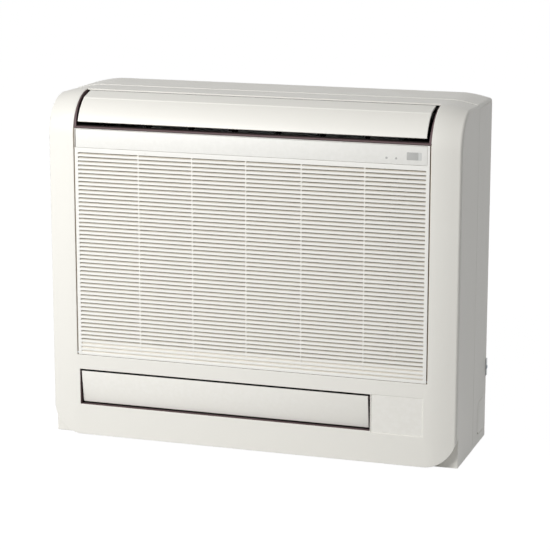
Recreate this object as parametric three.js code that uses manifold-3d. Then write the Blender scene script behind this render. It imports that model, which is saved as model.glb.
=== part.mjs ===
// Floor standing air conditioner, indoor unit: a low console that draws air through a hinged front
// grille and blows it out above and below.
// Millimetres. X to the right seen from the front, Y to the back, Z up. The origin is at the middle
// of the footprint, on the floor.
import * as THREE from "three";
import { mergeVertices } from "three/addons/utils/BufferGeometryUtils.js";
import Module from "manifold-3d";

const wasm = await Module();
wasm.setup();

// ---- driving dimensions -------------------------------------------------------------------------

// whole unit
const WIDTH = 720; // across the side walls
const HEIGHT = 600;
const DEPTH = 225;
const WALL = 3; // moulded casing
const FIT = 0.3; // clearance between pieces that meet

const SIDE = WIDTH / 2;
const FRONT = -DEPTH / 2;
const BACK = DEPTH / 2;
const PILLAR = 49; // width beside the grille
const OPENING = SIDE - PILLAR; // half width of the grille opening and the upper outlet
const SEAM_Y = FRONT + 128.5; // where the front casing ends and the rear casing starts

// front casing
const TOP_RADIUS = 70; // curve from the front into the top
const SLAB_DEPTH = 20.5; // the front stands this far before the square body
const SLAB_LIFT = 4; // its lower edge above the floor
const SLAB_CORNER = 55; // its rounded lower corners
const CROWN_DROP = 7; // pillars and top fall back towards the sides
const EDGE_FILLET = 6;
const CASING_LIFT = 1; // side walls end above the floor, the base pan carries the unit
const FASCIA_TOP = 146.4; // lower edge of the grille opening
const OPENING_BACK = 66; // the top opening ends this far behind the front
const RETURN_DEPTH = 18; // flanges beside the grille
const MID_BRIDGE_Z = HEIGHT - 58.5; // foot of the lip between grille and upper outlet

// intake grille
const GRILLE_SIDE_GAP = 2;
const GRILLE_THICK = 6;
const GRILLE_TOP_GAP = 1;
const SLOTS = 50;
const SLOT_HEIGHT = 3.5;
const SLAT_DEPTH = 4;
const FIRST_SLOT = 6.6; // middle of the lowest slot above the opening's lower edge
const LAST_SLOT = 9.04; // middle of the highest slot below the band
const BLIND_SLOTS = 3; // backed by a closed strip
const GRILLE_BAR = 6; // side bars
const RIB_THICK = 2;
const RIBS = [-0.624, -0.315, -0.01, 0.299, 0.646].map((share) => share * OPENING);
const BAND_HEIGHT = 32;
const BAND_EDGE = 1.5; // under the strip's lower edge
const BAND_RECESS = 2.4;
const BAND_THICK = 1.8;
const WINDOW = { x: OPENING - 28, z: HEIGHT - 77.5, width: 25.5, height: 13.5 };
const LEDS = [OPENING - 74, OPENING - 58];
const LED_RADIUS = 1.5;
const LED_Z = HEIGHT - 82;
const PIN_RADIUS = 1.8;
const PIN_LENGTH = 14;

// upper outlet
const FLAP_LOW_Z = HEIGHT - 48;
const FLAP_BACK_GAP = 4;
const FLAP_SIDE_GAP = 8;
const FLAP_THICK = 3;
const FLAP_AXIS = { y: FRONT + 46.5, z: HEIGHT - 20 };
const FLAP_BOSS = 5;
const FLAP_PIN = 2.5;
const DUCT_WALL = 2.5;
const ROOF_GAP = 5.6; // upper duct's roof below the casing
const MOTOR_BORE = 8; // depth of the drive bore in the stepping motors
const MOTOR_NOSE = 1.5; // material round that bore
const LIP_HEIGHT = 2.5;
const VANES = 8;
const VANE_END = 41.5; // outer vanes from the ends of the outlet
const VANE_PITCH = (2 * (OPENING - VANE_END)) / (VANES - 1);
const VANE_THICK = 1.2;
const VANE_HALF = 22; // half depth of a vane
const VANE_TOP = HEIGHT - 32;
const VANE_AXIS_Y = FRONT + 40.5;
const VANE_CRANK = 14; // pivot to tie bar pin
const VANE_PIN = 1.5;

// lower outlet
const OUTLET = { x0: -OPENING + 4.2, x1: OPENING - 96.7, z0: 57.9, z1: 120.8 };
const SHUTTER_GAP = 2.5;
const SHUTTER_THICK = 3;
const SHUTTER_AXIS = { y: FRONT + 7, z: OUTLET.z1 - 7.8 };
const SHUTTER_LEAN = 7; // the lower edge lies this far inside
const SHUTTER_PIN = 2;
const COVER = { x0: OPENING - 95, x1: OPENING - 7, z0: 55.8, z1: 121.3 };
const COVER_RECESS = 1.6;
const COVER_THICK = 1;
const COVER_LEDGE = 8; // width of the seat round its window

// fan
const HOUSING = { x0: -OPENING + 11, x1: OPENING - 83, z0: 140, z1: HEIGHT - 76 };
const FAN = {
  x: (HOUSING.x0 + HOUSING.x1) / 2,
  z: (HOUSING.z0 + HOUSING.z1) / 2 + 3,
  radius: 150,
};
const FAN_FRONT = FRONT + 70.5;
const FAN_BACK = BACK - 80.5;
const BLADES = 7;
const MOUTH_RADIUS = 112;
const MOTOR_RADIUS = 58;
const MOTOR_LENGTH = 42;
const SHAFT_RADIUS = 4;
const GUIDE_WALL = 2.5;
const MOUTH_Y = FRONT + 60.5; // front of the bell mouth plate

// heat exchanger
const COIL = {
  x0: HOUSING.x0 + 4,
  x1: HOUSING.x1 - 14,
  y0: FRONT + 24.5,
  y1: FRONT + 54.5,
  z0: 160,
  z1: HEIGHT - 100,
};
const COIL_PLATE = 1.5;
const TUBE_RADIUS = 3.6;
const BENDS = 6;
const GAS_RADIUS = 6.3;
const LIQUID_RADIUS = 3.2;

// steel parts
const SHEET = 1.5;
const PAN_RIM = 20;
const TAB = { z0: 110, z1: 140, depth: 8, proud: 1.2 };
const SCREW_HEAD = { radius: 3.2, height: 1 };
const KNOCKOUT = { z0: 17, z1: 75, depth: 62, radius: 12 };
const BOX = {
  x0: SIDE - 110,
  x1: SIDE - 10,
  y0: FRONT + 28.5,
  y1: BACK - 52.5,
  z0: 165,
  z1: HEIGHT - 100,
};

// ---- places that follow from them ---------------------------------------------------------------

const BODY_FRONT = FRONT + SLAB_DEPTH;
const INNER_FRONT = FRONT + WALL;
const INNER_SIDE = SIDE - WALL;
const INNER_TOP = HEIGHT - WALL;
const ARC = { y: FRONT + TOP_RADIUS, z: HEIGHT - TOP_RADIUS };
const OPENING_END = FRONT + OPENING_BACK;
const PLATE_FRONT = BACK - SHEET;
const CASING_BACK = PLATE_FRONT - FIT;
const GRILLE_HALF = OPENING - GRILLE_SIDE_GAP;
const GRILLE_BACK = FRONT + GRILLE_THICK;
const GRILLE_TOP = MID_BRIDGE_Z - GRILLE_TOP_GAP;
const HINGE_R = GRILLE_THICK / 2;
const HINGE = { y: FRONT + HINGE_R, z: FASCIA_TOP + HINGE_R + 0.6 };
const pinEnd = GRILLE_HALF + PIN_LENGTH / 2 + FIT;
const BAND_LOW = GRILLE_TOP - BAND_HEIGHT - BAND_EDGE;
const SLOT_PITCH = (BAND_LOW - LAST_SLOT - FASCIA_TOP - FIRST_SLOT) / (SLOTS - 1);
const FLAP_HALF = OPENING - FLAP_SIDE_GAP;
const DUCT_IN = OPENING + FIT; // inner face of the upper duct's end walls
const DUCT_OUT = DUCT_IN + DUCT_WALL;
const EPS = 0.01;
const motorBack = FAN_BACK + 12 + MOTOR_LENGTH;
const shaftEnd = motorBack - 12;
const guideBack = CASING_BACK - 5; // rear face of the air guide

// ---- solids -------------------------------------------------------------------------------------

const FULL_TURN = 32; // facets of a large round
const SMALL_TURN = 10;

// A closed three.js geometry as a solid that can be joined and cut.
function solid(geometry) {
  const g = geometry.clone();
  g.deleteAttribute("normal");
  g.deleteAttribute("uv");
  const merged = mergeVertices(g, 1e-4);
  return new wasm.Manifold(
    new wasm.Mesh({
      numProp: 3,
      vertProperties: merged.attributes.position.array,
      triVerts: new Uint32Array(merged.index.array),
    }),
  );
}

function box(x0, x1, y0, y1, z0, z1) {
  const g = new THREE.BoxGeometry(x1 - x0, y1 - y0, z1 - z0);
  g.translate((x0 + x1) / 2, (y0 + y1) / 2, (z0 + z1) / 2);
  return solid(g);
}

const outline = (points) => new THREE.Shape(points.map(([a, b]) => new THREE.Vector2(a, b)));

// Outline in Y and Z, drawn out along X.
function alongX(points, x0, x1) {
  const g = new THREE.ExtrudeGeometry(outline(points), { depth: x1 - x0, bevelEnabled: false });
  const turn = new THREE.Matrix4().makeBasis(
    new THREE.Vector3(0, 1, 0),
    new THREE.Vector3(0, 0, 1),
    new THREE.Vector3(1, 0, 0),
  );
  g.applyMatrix4(turn);
  g.translate(x0, 0, 0);
  return solid(g);
}

// Outline in X and Z, drawn out along Y.
function alongY(points, y0, y1) {
  const g = new THREE.ExtrudeGeometry(outline(points), { depth: y1 - y0, bevelEnabled: false });
  const turn = new THREE.Matrix4().makeBasis(
    new THREE.Vector3(1, 0, 0),
    new THREE.Vector3(0, 0, 1),
    new THREE.Vector3(0, -1, 0),
  );
  g.applyMatrix4(turn);
  g.translate(0, y1, 0);
  return solid(g);
}

// Outline in X and Y, drawn out along Z.
function alongZ(points, z0, z1) {
  const g = new THREE.ExtrudeGeometry(outline(points), { depth: z1 - z0, bevelEnabled: false });
  g.translate(0, 0, z0);
  return solid(g);
}

function rodX(radius, x0, x1, y, z, facets = SMALL_TURN) {
  const g = new THREE.CylinderGeometry(radius, radius, x1 - x0, facets);
  g.rotateZ(-Math.PI / 2);
  g.translate((x0 + x1) / 2, y, z);
  return solid(g);
}

function rodY(radius, y0, y1, x, z, facets = SMALL_TURN) {
  const g = new THREE.CylinderGeometry(radius, radius, y1 - y0, facets);
  g.translate(x, (y0 + y1) / 2, z);
  return solid(g);
}

function rodZ(radius, z0, z1, x, y, facets = SMALL_TURN) {
  const g = new THREE.CylinderGeometry(radius, radius, z1 - z0, facets);
  g.rotateX(Math.PI / 2);
  g.translate(x, y, (z0 + z1) / 2);
  return solid(g);
}

// Profile of [radius, y] pairs turned about an axis that runs along Y through (x, z).
function turnedY(profile, x, z, facets = FULL_TURN) {
  const g = new THREE.LatheGeometry(
    profile.map(([r, y]) => new THREE.Vector2(r, y)),
    facets,
  );
  g.translate(x, 0, z);
  const made = solid(g);
  return made.volume() < 0 ? solid(flipped(g)) : made;
}

function flipped(geometry) {
  const g = geometry.clone();
  const index = g.index.array;
  for (let i = 0; i < index.length; i += 3) [index[i + 1], index[i + 2]] = [index[i + 2], index[i + 1]];
  return g;
}

// Round bar along a smooth route.
function pipe(route, radius, steps, facets = 8) {
  const curve = new THREE.CatmullRomCurve3(
    route.map((p) => new THREE.Vector3(...p)),
    false,
    "centripetal",
  );
  const ring = new THREE.Shape();
  ring.absarc(0, 0, radius, 0, Math.PI * 2, false);
  return solid(
    new THREE.ExtrudeGeometry(ring, { steps, curveSegments: facets / 2, extrudePath: curve, bevelEnabled: false }),
  );
}

const join = (first, ...rest) => rest.reduce((whole, piece) => whole.add(piece), first);
const cut = (first, ...rest) => rest.reduce((whole, piece) => whole.subtract(piece), first);

// Points of an arc in a plane, from one angle to another in degrees.
function arc(a, b, radius, from, to, steps) {
  const points = [];
  for (let i = 0; i <= steps; i++) {
    const t = THREE.MathUtils.degToRad(from + ((to - from) * i) / steps);
    points.push([a + radius * Math.cos(t), b + radius * Math.sin(t)]);
  }
  return points;
}

// ---- materials ----------------------------------------------------------------------------------

const finish = (color, roughness, metalness = 0) =>
  new THREE.MeshStandardMaterial({ color, roughness, metalness });
const CREAM = finish(0xf0efe8, 0.42);
const DARK = finish(0x1c1614, 0.6);
const LENS_GREY = finish(0xb6b7b4, 0.25);
const STEEL = finish(0xa9b0b6, 0.35, 1);
const ALUMINIUM = finish(0xc4c8cb, 0.4, 1);
const COPPER = finish(0xb8733f, 0.35, 1);
const BRASS = finish(0xc9a24f, 0.35, 1);
const GREY_PLASTIC = finish(0x8b8f90, 0.55);
const WHITE_PLASTIC = finish(0xdcdedd, 0.5);
const MESH_GREY = finish(0x55595b, 0.8);
const BOARD = finish(0x2c5a3c, 0.55);

const unit = new THREE.Group();
function group(parent = unit) {
  const g = new THREE.Group();
  parent.add(g);
  return g;
}

// A named piece in a group, moved to its place.
function place(name, made, material, parent, position = [0, 0, 0]) {
  const { numProp, vertProperties, triVerts } = made.getMesh();
  const points = new Float32Array((vertProperties.length / numProp) * 3);
  for (let i = 0; i < points.length / 3; i++) {
    points.set(vertProperties.subarray(i * numProp, i * numProp + 3), i * 3);
  }
  const g = new THREE.BufferGeometry();
  g.setAttribute("position", new THREE.BufferAttribute(points, 3));
  g.setIndex(new THREE.BufferAttribute(new Uint32Array(triVerts), 1));
  const flat = g.toNonIndexed();
  flat.computeVertexNormals();
  const mesh = new THREE.Mesh(flat, material);
  mesh.name = name;
  mesh.position.set(...position);
  parent.add(mesh);
  return mesh;
}

// ---- casing -------------------------------------------------------------------------------------

// How far the skin falls back at a distance x from the middle plane.
function fallBack(x, half, fillet) {
  const filletStart = half - fillet;
  const crownStart = OPENING;
  const far = Math.abs(x);
  const t = Math.min(1, Math.max(0, (far - crownStart) / (filletStart - crownStart)));
  const u = Math.min(1, Math.max(0, (far - filletStart) / fillet));
  return CROWN_DROP * t ** 1.6 + fillet * (1 - Math.sqrt(1 - u * u));
}

// Side outline of the unit drawn across its width, with the crown and the rounded side edges.
// inset moves the whole skin inwards.
function skin(inset, yBack, zLow) {
  const half = SIDE - inset;
  const fillet = Math.max(EDGE_FILLET - inset, 2);
  const radius = TOP_RADIUS - inset;
  const steps = 10;
  const points = [
    [FRONT + inset, zLow],
    ...arc(ARC.y, ARC.z, radius, 180, 90, steps),
    [yBack, HEIGHT - inset],
    [yBack, zLow],
  ];
  const shape = outline(points);
  const side = [0, 0.25, 0.5, 0.75, 1].map((t) => OPENING + (half - fillet - OPENING) * t);
  const round = [0.5, 0.8, 0.95, 1].map((t) => half - fillet + fillet * t);
  const stations = [...side, ...round];
  const xs = [...stations.map((x) => -x).reverse(), ...stations];
  const g = new THREE.ExtrudeGeometry(shape, { depth: 1, steps: xs.length - 1, bevelEnabled: false });
  const p = g.attributes.position;
  for (let i = 0; i < p.count; i++) {
    const y = p.getX(i);
    const z = p.getY(i);
    const x = xs[Math.round(p.getZ(i) * (xs.length - 1))];
    const drop = fallBack(x, half, fillet);
    let toY = 0;
    let toZ = 0;
    if (y < ARC.y && z <= ARC.z) toY = drop;
    else if (y >= ARC.y && z > ARC.z) toZ = -drop;
    else if (z > ARC.z) {
      toY = ((ARC.y - y) / radius) * drop;
      toZ = ((ARC.z - z) / radius) * drop;
    }
    p.setXYZ(i, x, y + toY, z + toZ);
  }
  return solid(g);
}

// Outline of the front slab seen from the front, with its rounded lower corners.
function slabOutline(inset, zTop) {
  const half = SIDE - inset;
  const radius = SLAB_CORNER - inset;
  const centre = SLAB_LIFT + SLAB_CORNER;
  return [
    [-half, zTop],
    ...arc(-SIDE + SLAB_CORNER, centre, radius, 180, 270, 8),
    ...arc(SIDE - SLAB_CORNER, centre, radius, 270, 360, 8),
    [half, zTop],
  ];
}

function frontCasing() {
  const zHigh = HEIGHT + 1;
  const outer = skin(0, SEAM_Y, CASING_LIFT);
  const body = outer.intersect(box(-SIDE - 1, SIDE + 1, BODY_FRONT, SEAM_Y + 1, 0, zHigh));
  const slab = outer.intersect(alongY(slabOutline(0, zHigh), FRONT - 1, BODY_FRONT + WALL));
  const inner = skin(WALL, SEAM_Y + 5, -5);
  const bodyHollow = inner.intersect(
    box(-SIDE, SIDE, BODY_FRONT + WALL, SEAM_Y + 6, -6, zHigh),
  );
  const slabHollow = inner.intersect(
    alongY(slabOutline(WALL, zHigh), INNER_FRONT - 1, BODY_FRONT + 2 * WALL),
  );
  const opening = box(-OPENING, OPENING, FRONT - 1, OPENING_END, FASCIA_TOP, zHigh);
  let shell = cut(join(body, slab), bodyHollow, slabHollow, opening);

  // flanges beside the grille and the ledge under it
  for (const side of [-1, 1]) {
    const a = side * OPENING;
    const b = side * (OPENING + WALL);
    shell = shell.add(
      box(
        Math.min(a, b),
        Math.max(a, b),
        INNER_FRONT - EPS - 1,
        INNER_FRONT + RETURN_DEPTH,
        FASCIA_TOP - WALL,
        MID_BRIDGE_Z - FIT,
      ),
    );
  }
  shell = shell.add(
    box(
      -OPENING - WALL,
      OPENING + WALL,
      INNER_FRONT - 1,
      INNER_FRONT + RETURN_DEPTH - 6,
      FASCIA_TOP - WALL,
      FASCIA_TOP,
    ),
  );

  // lower outlet, service recess and its window, holes of the hinge pins
  const coverBack = FRONT + COVER_RECESS;
  return cut(
    shell,
    box(OUTLET.x0, OUTLET.x1, FRONT - 1, INNER_FRONT + 1, OUTLET.z0, OUTLET.z1),
    box(COVER.x0, COVER.x1, FRONT - 1, coverBack, COVER.z0, COVER.z1),
    box(
      COVER.x0 + COVER_LEDGE,
      COVER.x1 - COVER_LEDGE,
      FRONT,
      INNER_FRONT + 1,
      COVER.z0 + COVER_LEDGE,
      COVER.z1 - COVER_LEDGE,
    ),
    rodX(PIN_RADIUS + FIT, -pinEnd - 1, -OPENING + 1, HINGE.y, HINGE.z),
    rodX(PIN_RADIUS + FIT, OPENING - 1, pinEnd + 1, HINGE.y, HINGE.z),
  );
}

// Notch in the rear casing for the pipes, open to the back; grow widens it.
function knockoutOutline(grow) {
  const y0 = CASING_BACK - KNOCKOUT.depth - grow;
  const z0 = KNOCKOUT.z0 - grow;
  const z1 = KNOCKOUT.z1 + grow;
  const r = KNOCKOUT.radius + grow;
  return [
    [CASING_BACK + 1, z1],
    ...arc(y0 + r, z1 - r, r, 90, 180, 5),
    ...arc(y0 + r, z0 + r, r, 180, 270, 5),
    [CASING_BACK + 1, z0],
  ];
}

const tabZ = (TAB.z0 + TAB.z1) / 2;
const tabY = BACK - TAB.depth / 2;

function rearCasing() {
  const yFront = SEAM_Y + FIT;
  const zHigh = HEIGHT + 1;
  const shell = cut(skin(0, CASING_BACK, CASING_LIFT), skin(WALL, CASING_BACK + 5, -5));
  const rear = shell.intersect(box(-SIDE - 1, SIDE + 1, yFront, BACK, 0, zHigh));
  return cut(
    rear,
    alongX(knockoutOutline(FIT), -SIDE - 1, SIDE + 1),
    rodX(2.2, -SIDE - 1, SIDE + 1, tabY, tabZ),
  );
}

// Plate that fills the pipe notch, with two catches behind the wall.
function knockoutCover(side) {
  const inside = side * (INNER_SIDE + FIT);
  const outside = side * SIDE;
  const y0 = CASING_BACK - KNOCKOUT.depth;
  const x0 = Math.min(inside, outside);
  const x1 = Math.max(inside, outside);
  const plate = alongX(knockoutOutline(0), x0, x1).intersect(
    box(-SIDE - 1, SIDE + 1, y0 - 1, CASING_BACK, 0, HEIGHT),
  );
  const catchBack = side * (INNER_SIDE - 3);
  const near = side * (INNER_SIDE - FIT);
  const hook = (z) =>
    join(
      box(Math.min(catchBack, near), Math.max(catchBack, near), y0 - 5, y0 + 12, z, z + 8),
      box(Math.min(near, inside) - EPS, Math.max(near, inside) + EPS, y0 + 3, y0 + 12, z, z + 8),
    );
  return join(plate, hook(KNOCKOUT.z0 + 16), hook(KNOCKOUT.z1 - 20));
}

function basePan() {
  const half = INNER_SIDE - FIT;
  const y0 = BODY_FRONT + WALL + FIT;
  const y1 = PLATE_FRONT - FIT;
  const outer = box(-half, half, y0, y1, 0, PAN_RIM);
  const hollow = box(-half + SHEET, half - SHEET, y0 + SHEET, y1 - SHEET, SHEET, PAN_RIM + 1);
  const foot = (x) => box(x - 18, x + 18, y0 + 20, y1 - 20, 0, SHEET + 5);
  return join(cut(outer, hollow), foot(-SIDE * 0.7), foot(SIDE * 0.7));
}

function backPlate() {
  const half = INNER_SIDE - FIT;
  const plate = box(-half, half, PLATE_FRONT, BACK, WALL, HEIGHT).intersect(skin(WALL + FIT, BACK + 1, 0));
  const tab = (side) => {
    const a = side * (half - 1);
    const b = side * (SIDE + FIT + TAB.proud);
    const c = side * (SIDE + FIT);
    return join(
      box(Math.min(a, b), Math.max(a, b), PLATE_FRONT, BACK, TAB.z0, TAB.z1),
      box(Math.min(b, c), Math.max(b, c), BACK - TAB.depth, BACK, TAB.z0, TAB.z1),
    );
  };
  const keyhole = (x, z) =>
    join(
      rodY(7, PLATE_FRONT - 1, BACK + 1, x, z),
      box(x - 3, x + 3, PLATE_FRONT - 1, BACK + 1, z, z + 16),
    );
  return cut(
    join(plate, tab(-1), tab(1)),
    keyhole(-SIDE + 100, HEIGHT - 130),
    keyhole(SIDE - 100, HEIGHT - 130),
    keyhole(-SIDE + 100, 60),
    keyhole(SIDE - 200, 60), // clear of the pipes
    rodX(2.2, -SIDE - 3, -SIDE + 1, tabY, tabZ),
    rodX(2.2, SIDE - 1, SIDE + 3, tabY, tabZ),
  );
}

function tabScrew(side) {
  const headFrom = SIDE + 2 * FIT + TAB.proud;
  const head = rodX(SCREW_HEAD.radius, headFrom, headFrom + SCREW_HEAD.height, tabY, tabZ, 16);
  const shank = rodX(1.8, SIDE - WALL - 5, headFrom + EPS, tabY, tabZ);
  const slot = box(headFrom + 0.4, headFrom + 3, tabY - 2.4, tabY + 2.4, tabZ - 0.5, tabZ + 0.5);
  const screw = cut(join(head, shank), slot);
  return side > 0 ? screw : screw.mirror([1, 0, 0]);
}

function serviceCover() {
  const y0 = FRONT + COVER_RECESS - COVER_THICK - FIT;
  const y1 = FRONT + COVER_RECESS - FIT;
  const plate = box(COVER.x0 + FIT, COVER.x1 - FIT, y0, y1, COVER.z0 + FIT, COVER.z1 - FIT);
  const boss = box(
    COVER.x0 + COVER_LEDGE + FIT,
    COVER.x1 - COVER_LEDGE - FIT,
    y1 - EPS,
    INNER_FRONT,
    COVER.z0 + COVER_LEDGE + FIT,
    COVER.z1 - COVER_LEDGE - FIT,
  );
  return join(plate, boss);
}

const casing = group();
place("front_casing", frontCasing(), CREAM, casing);
place("rear_casing", rearCasing(), CREAM, casing);
place("base_pan", basePan(), STEEL, casing);
place("back_plate", backPlate(), STEEL, casing);
place("service_cover", serviceCover(), CREAM, casing);
for (const [word, side] of [
  ["left", -1],
  ["right", 1],
]) {
  place("knockout_cover_" + word, knockoutCover(side), CREAM, casing);
  place("tab_screw_" + word, tabScrew(side), STEEL, casing);
}

// ---- intake grille ------------------------------------------------------------------------------

const LATCH = { x: [-0.5804 * OPENING, 0.5424 * OPENING], half: 5 };
const latchZ = BAND_LOW - 1;
const slotZ = (i) => FASCIA_TOP + FIRST_SLOT + i * SLOT_PITCH;
const lowestEdge = slotZ(0) - SLOT_HEIGHT / 2;
const highestEdge = slotZ(SLOTS - 1) + SLOT_HEIGHT / 2;

function intakeGrille() {
  let panel = join(
    rodX(HINGE_R, -GRILLE_HALF, GRILLE_HALF, HINGE.y, HINGE.z, 16),
    box(-GRILLE_HALF, GRILLE_HALF, FRONT, GRILLE_BACK, HINGE.z, lowestEdge),
    box(-GRILLE_HALF, GRILLE_HALF, FRONT, GRILLE_BACK, highestEdge, GRILLE_TOP),
  );
  for (const side of [-1, 1]) {
    const a = side * GRILLE_HALF;
    const b = side * (GRILLE_HALF - GRILLE_BAR);
    panel = panel.add(box(Math.min(a, b), Math.max(a, b), FRONT, GRILLE_BACK, HINGE.z, GRILLE_TOP));
  }
  const slats = Array.from({ length: SLOTS - 1 }, (_, i) =>
    box(
      -GRILLE_HALF + 1,
      GRILLE_HALF - 1,
      FRONT + 0.2,
      FRONT + 0.2 + SLAT_DEPTH,
      slotZ(i) + SLOT_HEIGHT / 2,
      slotZ(i + 1) - SLOT_HEIGHT / 2,
    ),
  );
  const striker = (x) =>
    box(x - LATCH.half, x + LATCH.half, GRILLE_BACK - 1, GRILLE_BACK + 3, latchZ - 5, latchZ + 5);
  const bandBack = FRONT + BAND_RECESS;
  panel = cut(
    join(panel, ...slats, ...LATCH.x.map(striker)),
    box(-GRILLE_HALF + 1, GRILLE_HALF - 4, FRONT - 1, bandBack, BAND_LOW + 1, GRILLE_TOP - 1),
    box(
      WINDOW.x - WINDOW.width / 2,
      WINDOW.x + WINDOW.width / 2,
      FRONT,
      GRILLE_BACK + 1,
      WINDOW.z - WINDOW.height / 2,
      WINDOW.z + WINDOW.height / 2,
    ),
    ...LEDS.map((x) => rodY(LED_RADIUS, FRONT, GRILLE_BACK + 1, x, LED_Z)),
    rodX(PIN_RADIUS + FIT, GRILLE_HALF - PIN_LENGTH / 2, GRILLE_HALF + 1, HINGE.y, HINGE.z),
    rodX(PIN_RADIUS + FIT, -GRILLE_HALF - 1, -GRILLE_HALF + PIN_LENGTH / 2, HINGE.y, HINGE.z),
  );
  return panel;
}

// Ribs behind the slats, on a strip that closes the lowest slots.
function ribFrame() {
  const y0 = FRONT + 0.2 + SLAT_DEPTH + FIT;
  const half = GRILLE_HALF - GRILLE_BAR - FIT;
  const z0 = HINGE.z + HINGE_R + FIT;
  const blindTop = slotZ(BLIND_SLOTS - 0.5);
  const zTop = highestEdge - FIT;
  const ribs = RIBS.map((x) =>
    box(x - RIB_THICK / 2, x + RIB_THICK / 2, y0, GRILLE_BACK, z0 + 1, zTop),
  );
  return join(
    box(-half, half, y0, GRILLE_BACK, z0, blindTop),
    box(-half, half, y0, GRILLE_BACK, zTop - 4, zTop),
    ...ribs,
  );
}

function bandStrip() {
  const y1 = FRONT + BAND_RECESS - FIT;
  const strip = box(
    -GRILLE_HALF + 1 + FIT,
    GRILLE_HALF - 4 - FIT,
    y1 - BAND_THICK,
    y1,
    BAND_LOW + 1 + FIT,
    GRILLE_TOP - 1 - FIT,
  );
  const windowHole = box(
    WINDOW.x - WINDOW.width / 2,
    WINDOW.x + WINDOW.width / 2,
    FRONT - 1,
    FRONT + 5,
    WINDOW.z - WINDOW.height / 2,
    WINDOW.z + WINDOW.height / 2,
  );
  return cut(strip, windowHole, ...LEDS.map((x) => rodY(LED_RADIUS, FRONT - 1, FRONT + 5, x, LED_Z)));
}

function receiverWindow() {
  const x0 = WINDOW.x - WINDOW.width / 2 + FIT;
  const x1 = WINDOW.x + WINDOW.width / 2 - FIT;
  const z0 = WINDOW.z - WINDOW.height / 2 + FIT;
  const z1 = WINDOW.z + WINDOW.height / 2 - FIT;
  return cut(
    box(x0, x1, FRONT + 0.4, GRILLE_BACK, z0, z1),
    box(x0 + 2, x1 - 2, FRONT + 2, GRILLE_BACK + 1, z0 + 2, z1 - 2),
  );
}

function hingePin(side) {
  const x0 = GRILLE_HALF - PIN_LENGTH / 2 + FIT;
  const rod = rodX(PIN_RADIUS, x0, x0 + PIN_LENGTH, HINGE.y, HINGE.z);
  return side > 0 ? rod : rod.mirror([1, 0, 0]);
}

const grille = group();
place("intake_grille", intakeGrille(), CREAM, grille);
place("rib_frame", ribFrame(), CREAM, grille);
place("band_strip", bandStrip(), CREAM, grille);
place("receiver_window", receiverWindow(), LENS_GREY, grille);
LEDS.forEach((x, i) =>
  place(
    i ? "led_lens_right" : "led_lens_left",
    rodY(LED_RADIUS - FIT / 2, FRONT + 0.4, GRILLE_BACK + 2, x, LED_Z),
    LENS_GREY,
    grille,
  ),
);
place("hinge_pin_left", hingePin(-1), STEEL, grille);
place("hinge_pin_right", hingePin(1), STEEL, grille);

// ---- upper outlet: liner, flap, guide vanes -----------------------------------------------------

const lipZ = MID_BRIDGE_Z + LIP_HEIGHT;
const chamberTopFront = MOUTH_Y + GUIDE_WALL + 3;

// Lower wall of the duct, seen from its end: flat lip, then down to the fan chamber.
const LIP_BACK = BODY_FRONT;
const DUCT_FLOOR = [
  [INNER_FRONT + 2.5, lipZ],
  [LIP_BACK, lipZ],
  [LIP_BACK + 24, lipZ - 9],
  [chamberTopFront, lipZ - 12],
];
const floorAt = (y) => {
  for (let i = 1; i < DUCT_FLOOR.length; i++) {
    const [ya, za] = DUCT_FLOOR[i - 1];
    const [yb, zb] = DUCT_FLOOR[i];
    if (y <= yb) return za + ((zb - za) * (y - ya)) / (yb - ya);
  }
  return DUCT_FLOOR[DUCT_FLOOR.length - 1][1];
};
const vaneX = (i) => (i - (VANES - 1) / 2) * VANE_PITCH;
const ductTop = INNER_TOP - ROOF_GAP;
const ROOF_START = OPENING_END + 8.5; // behind the sweep of the flap's rear edge

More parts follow.
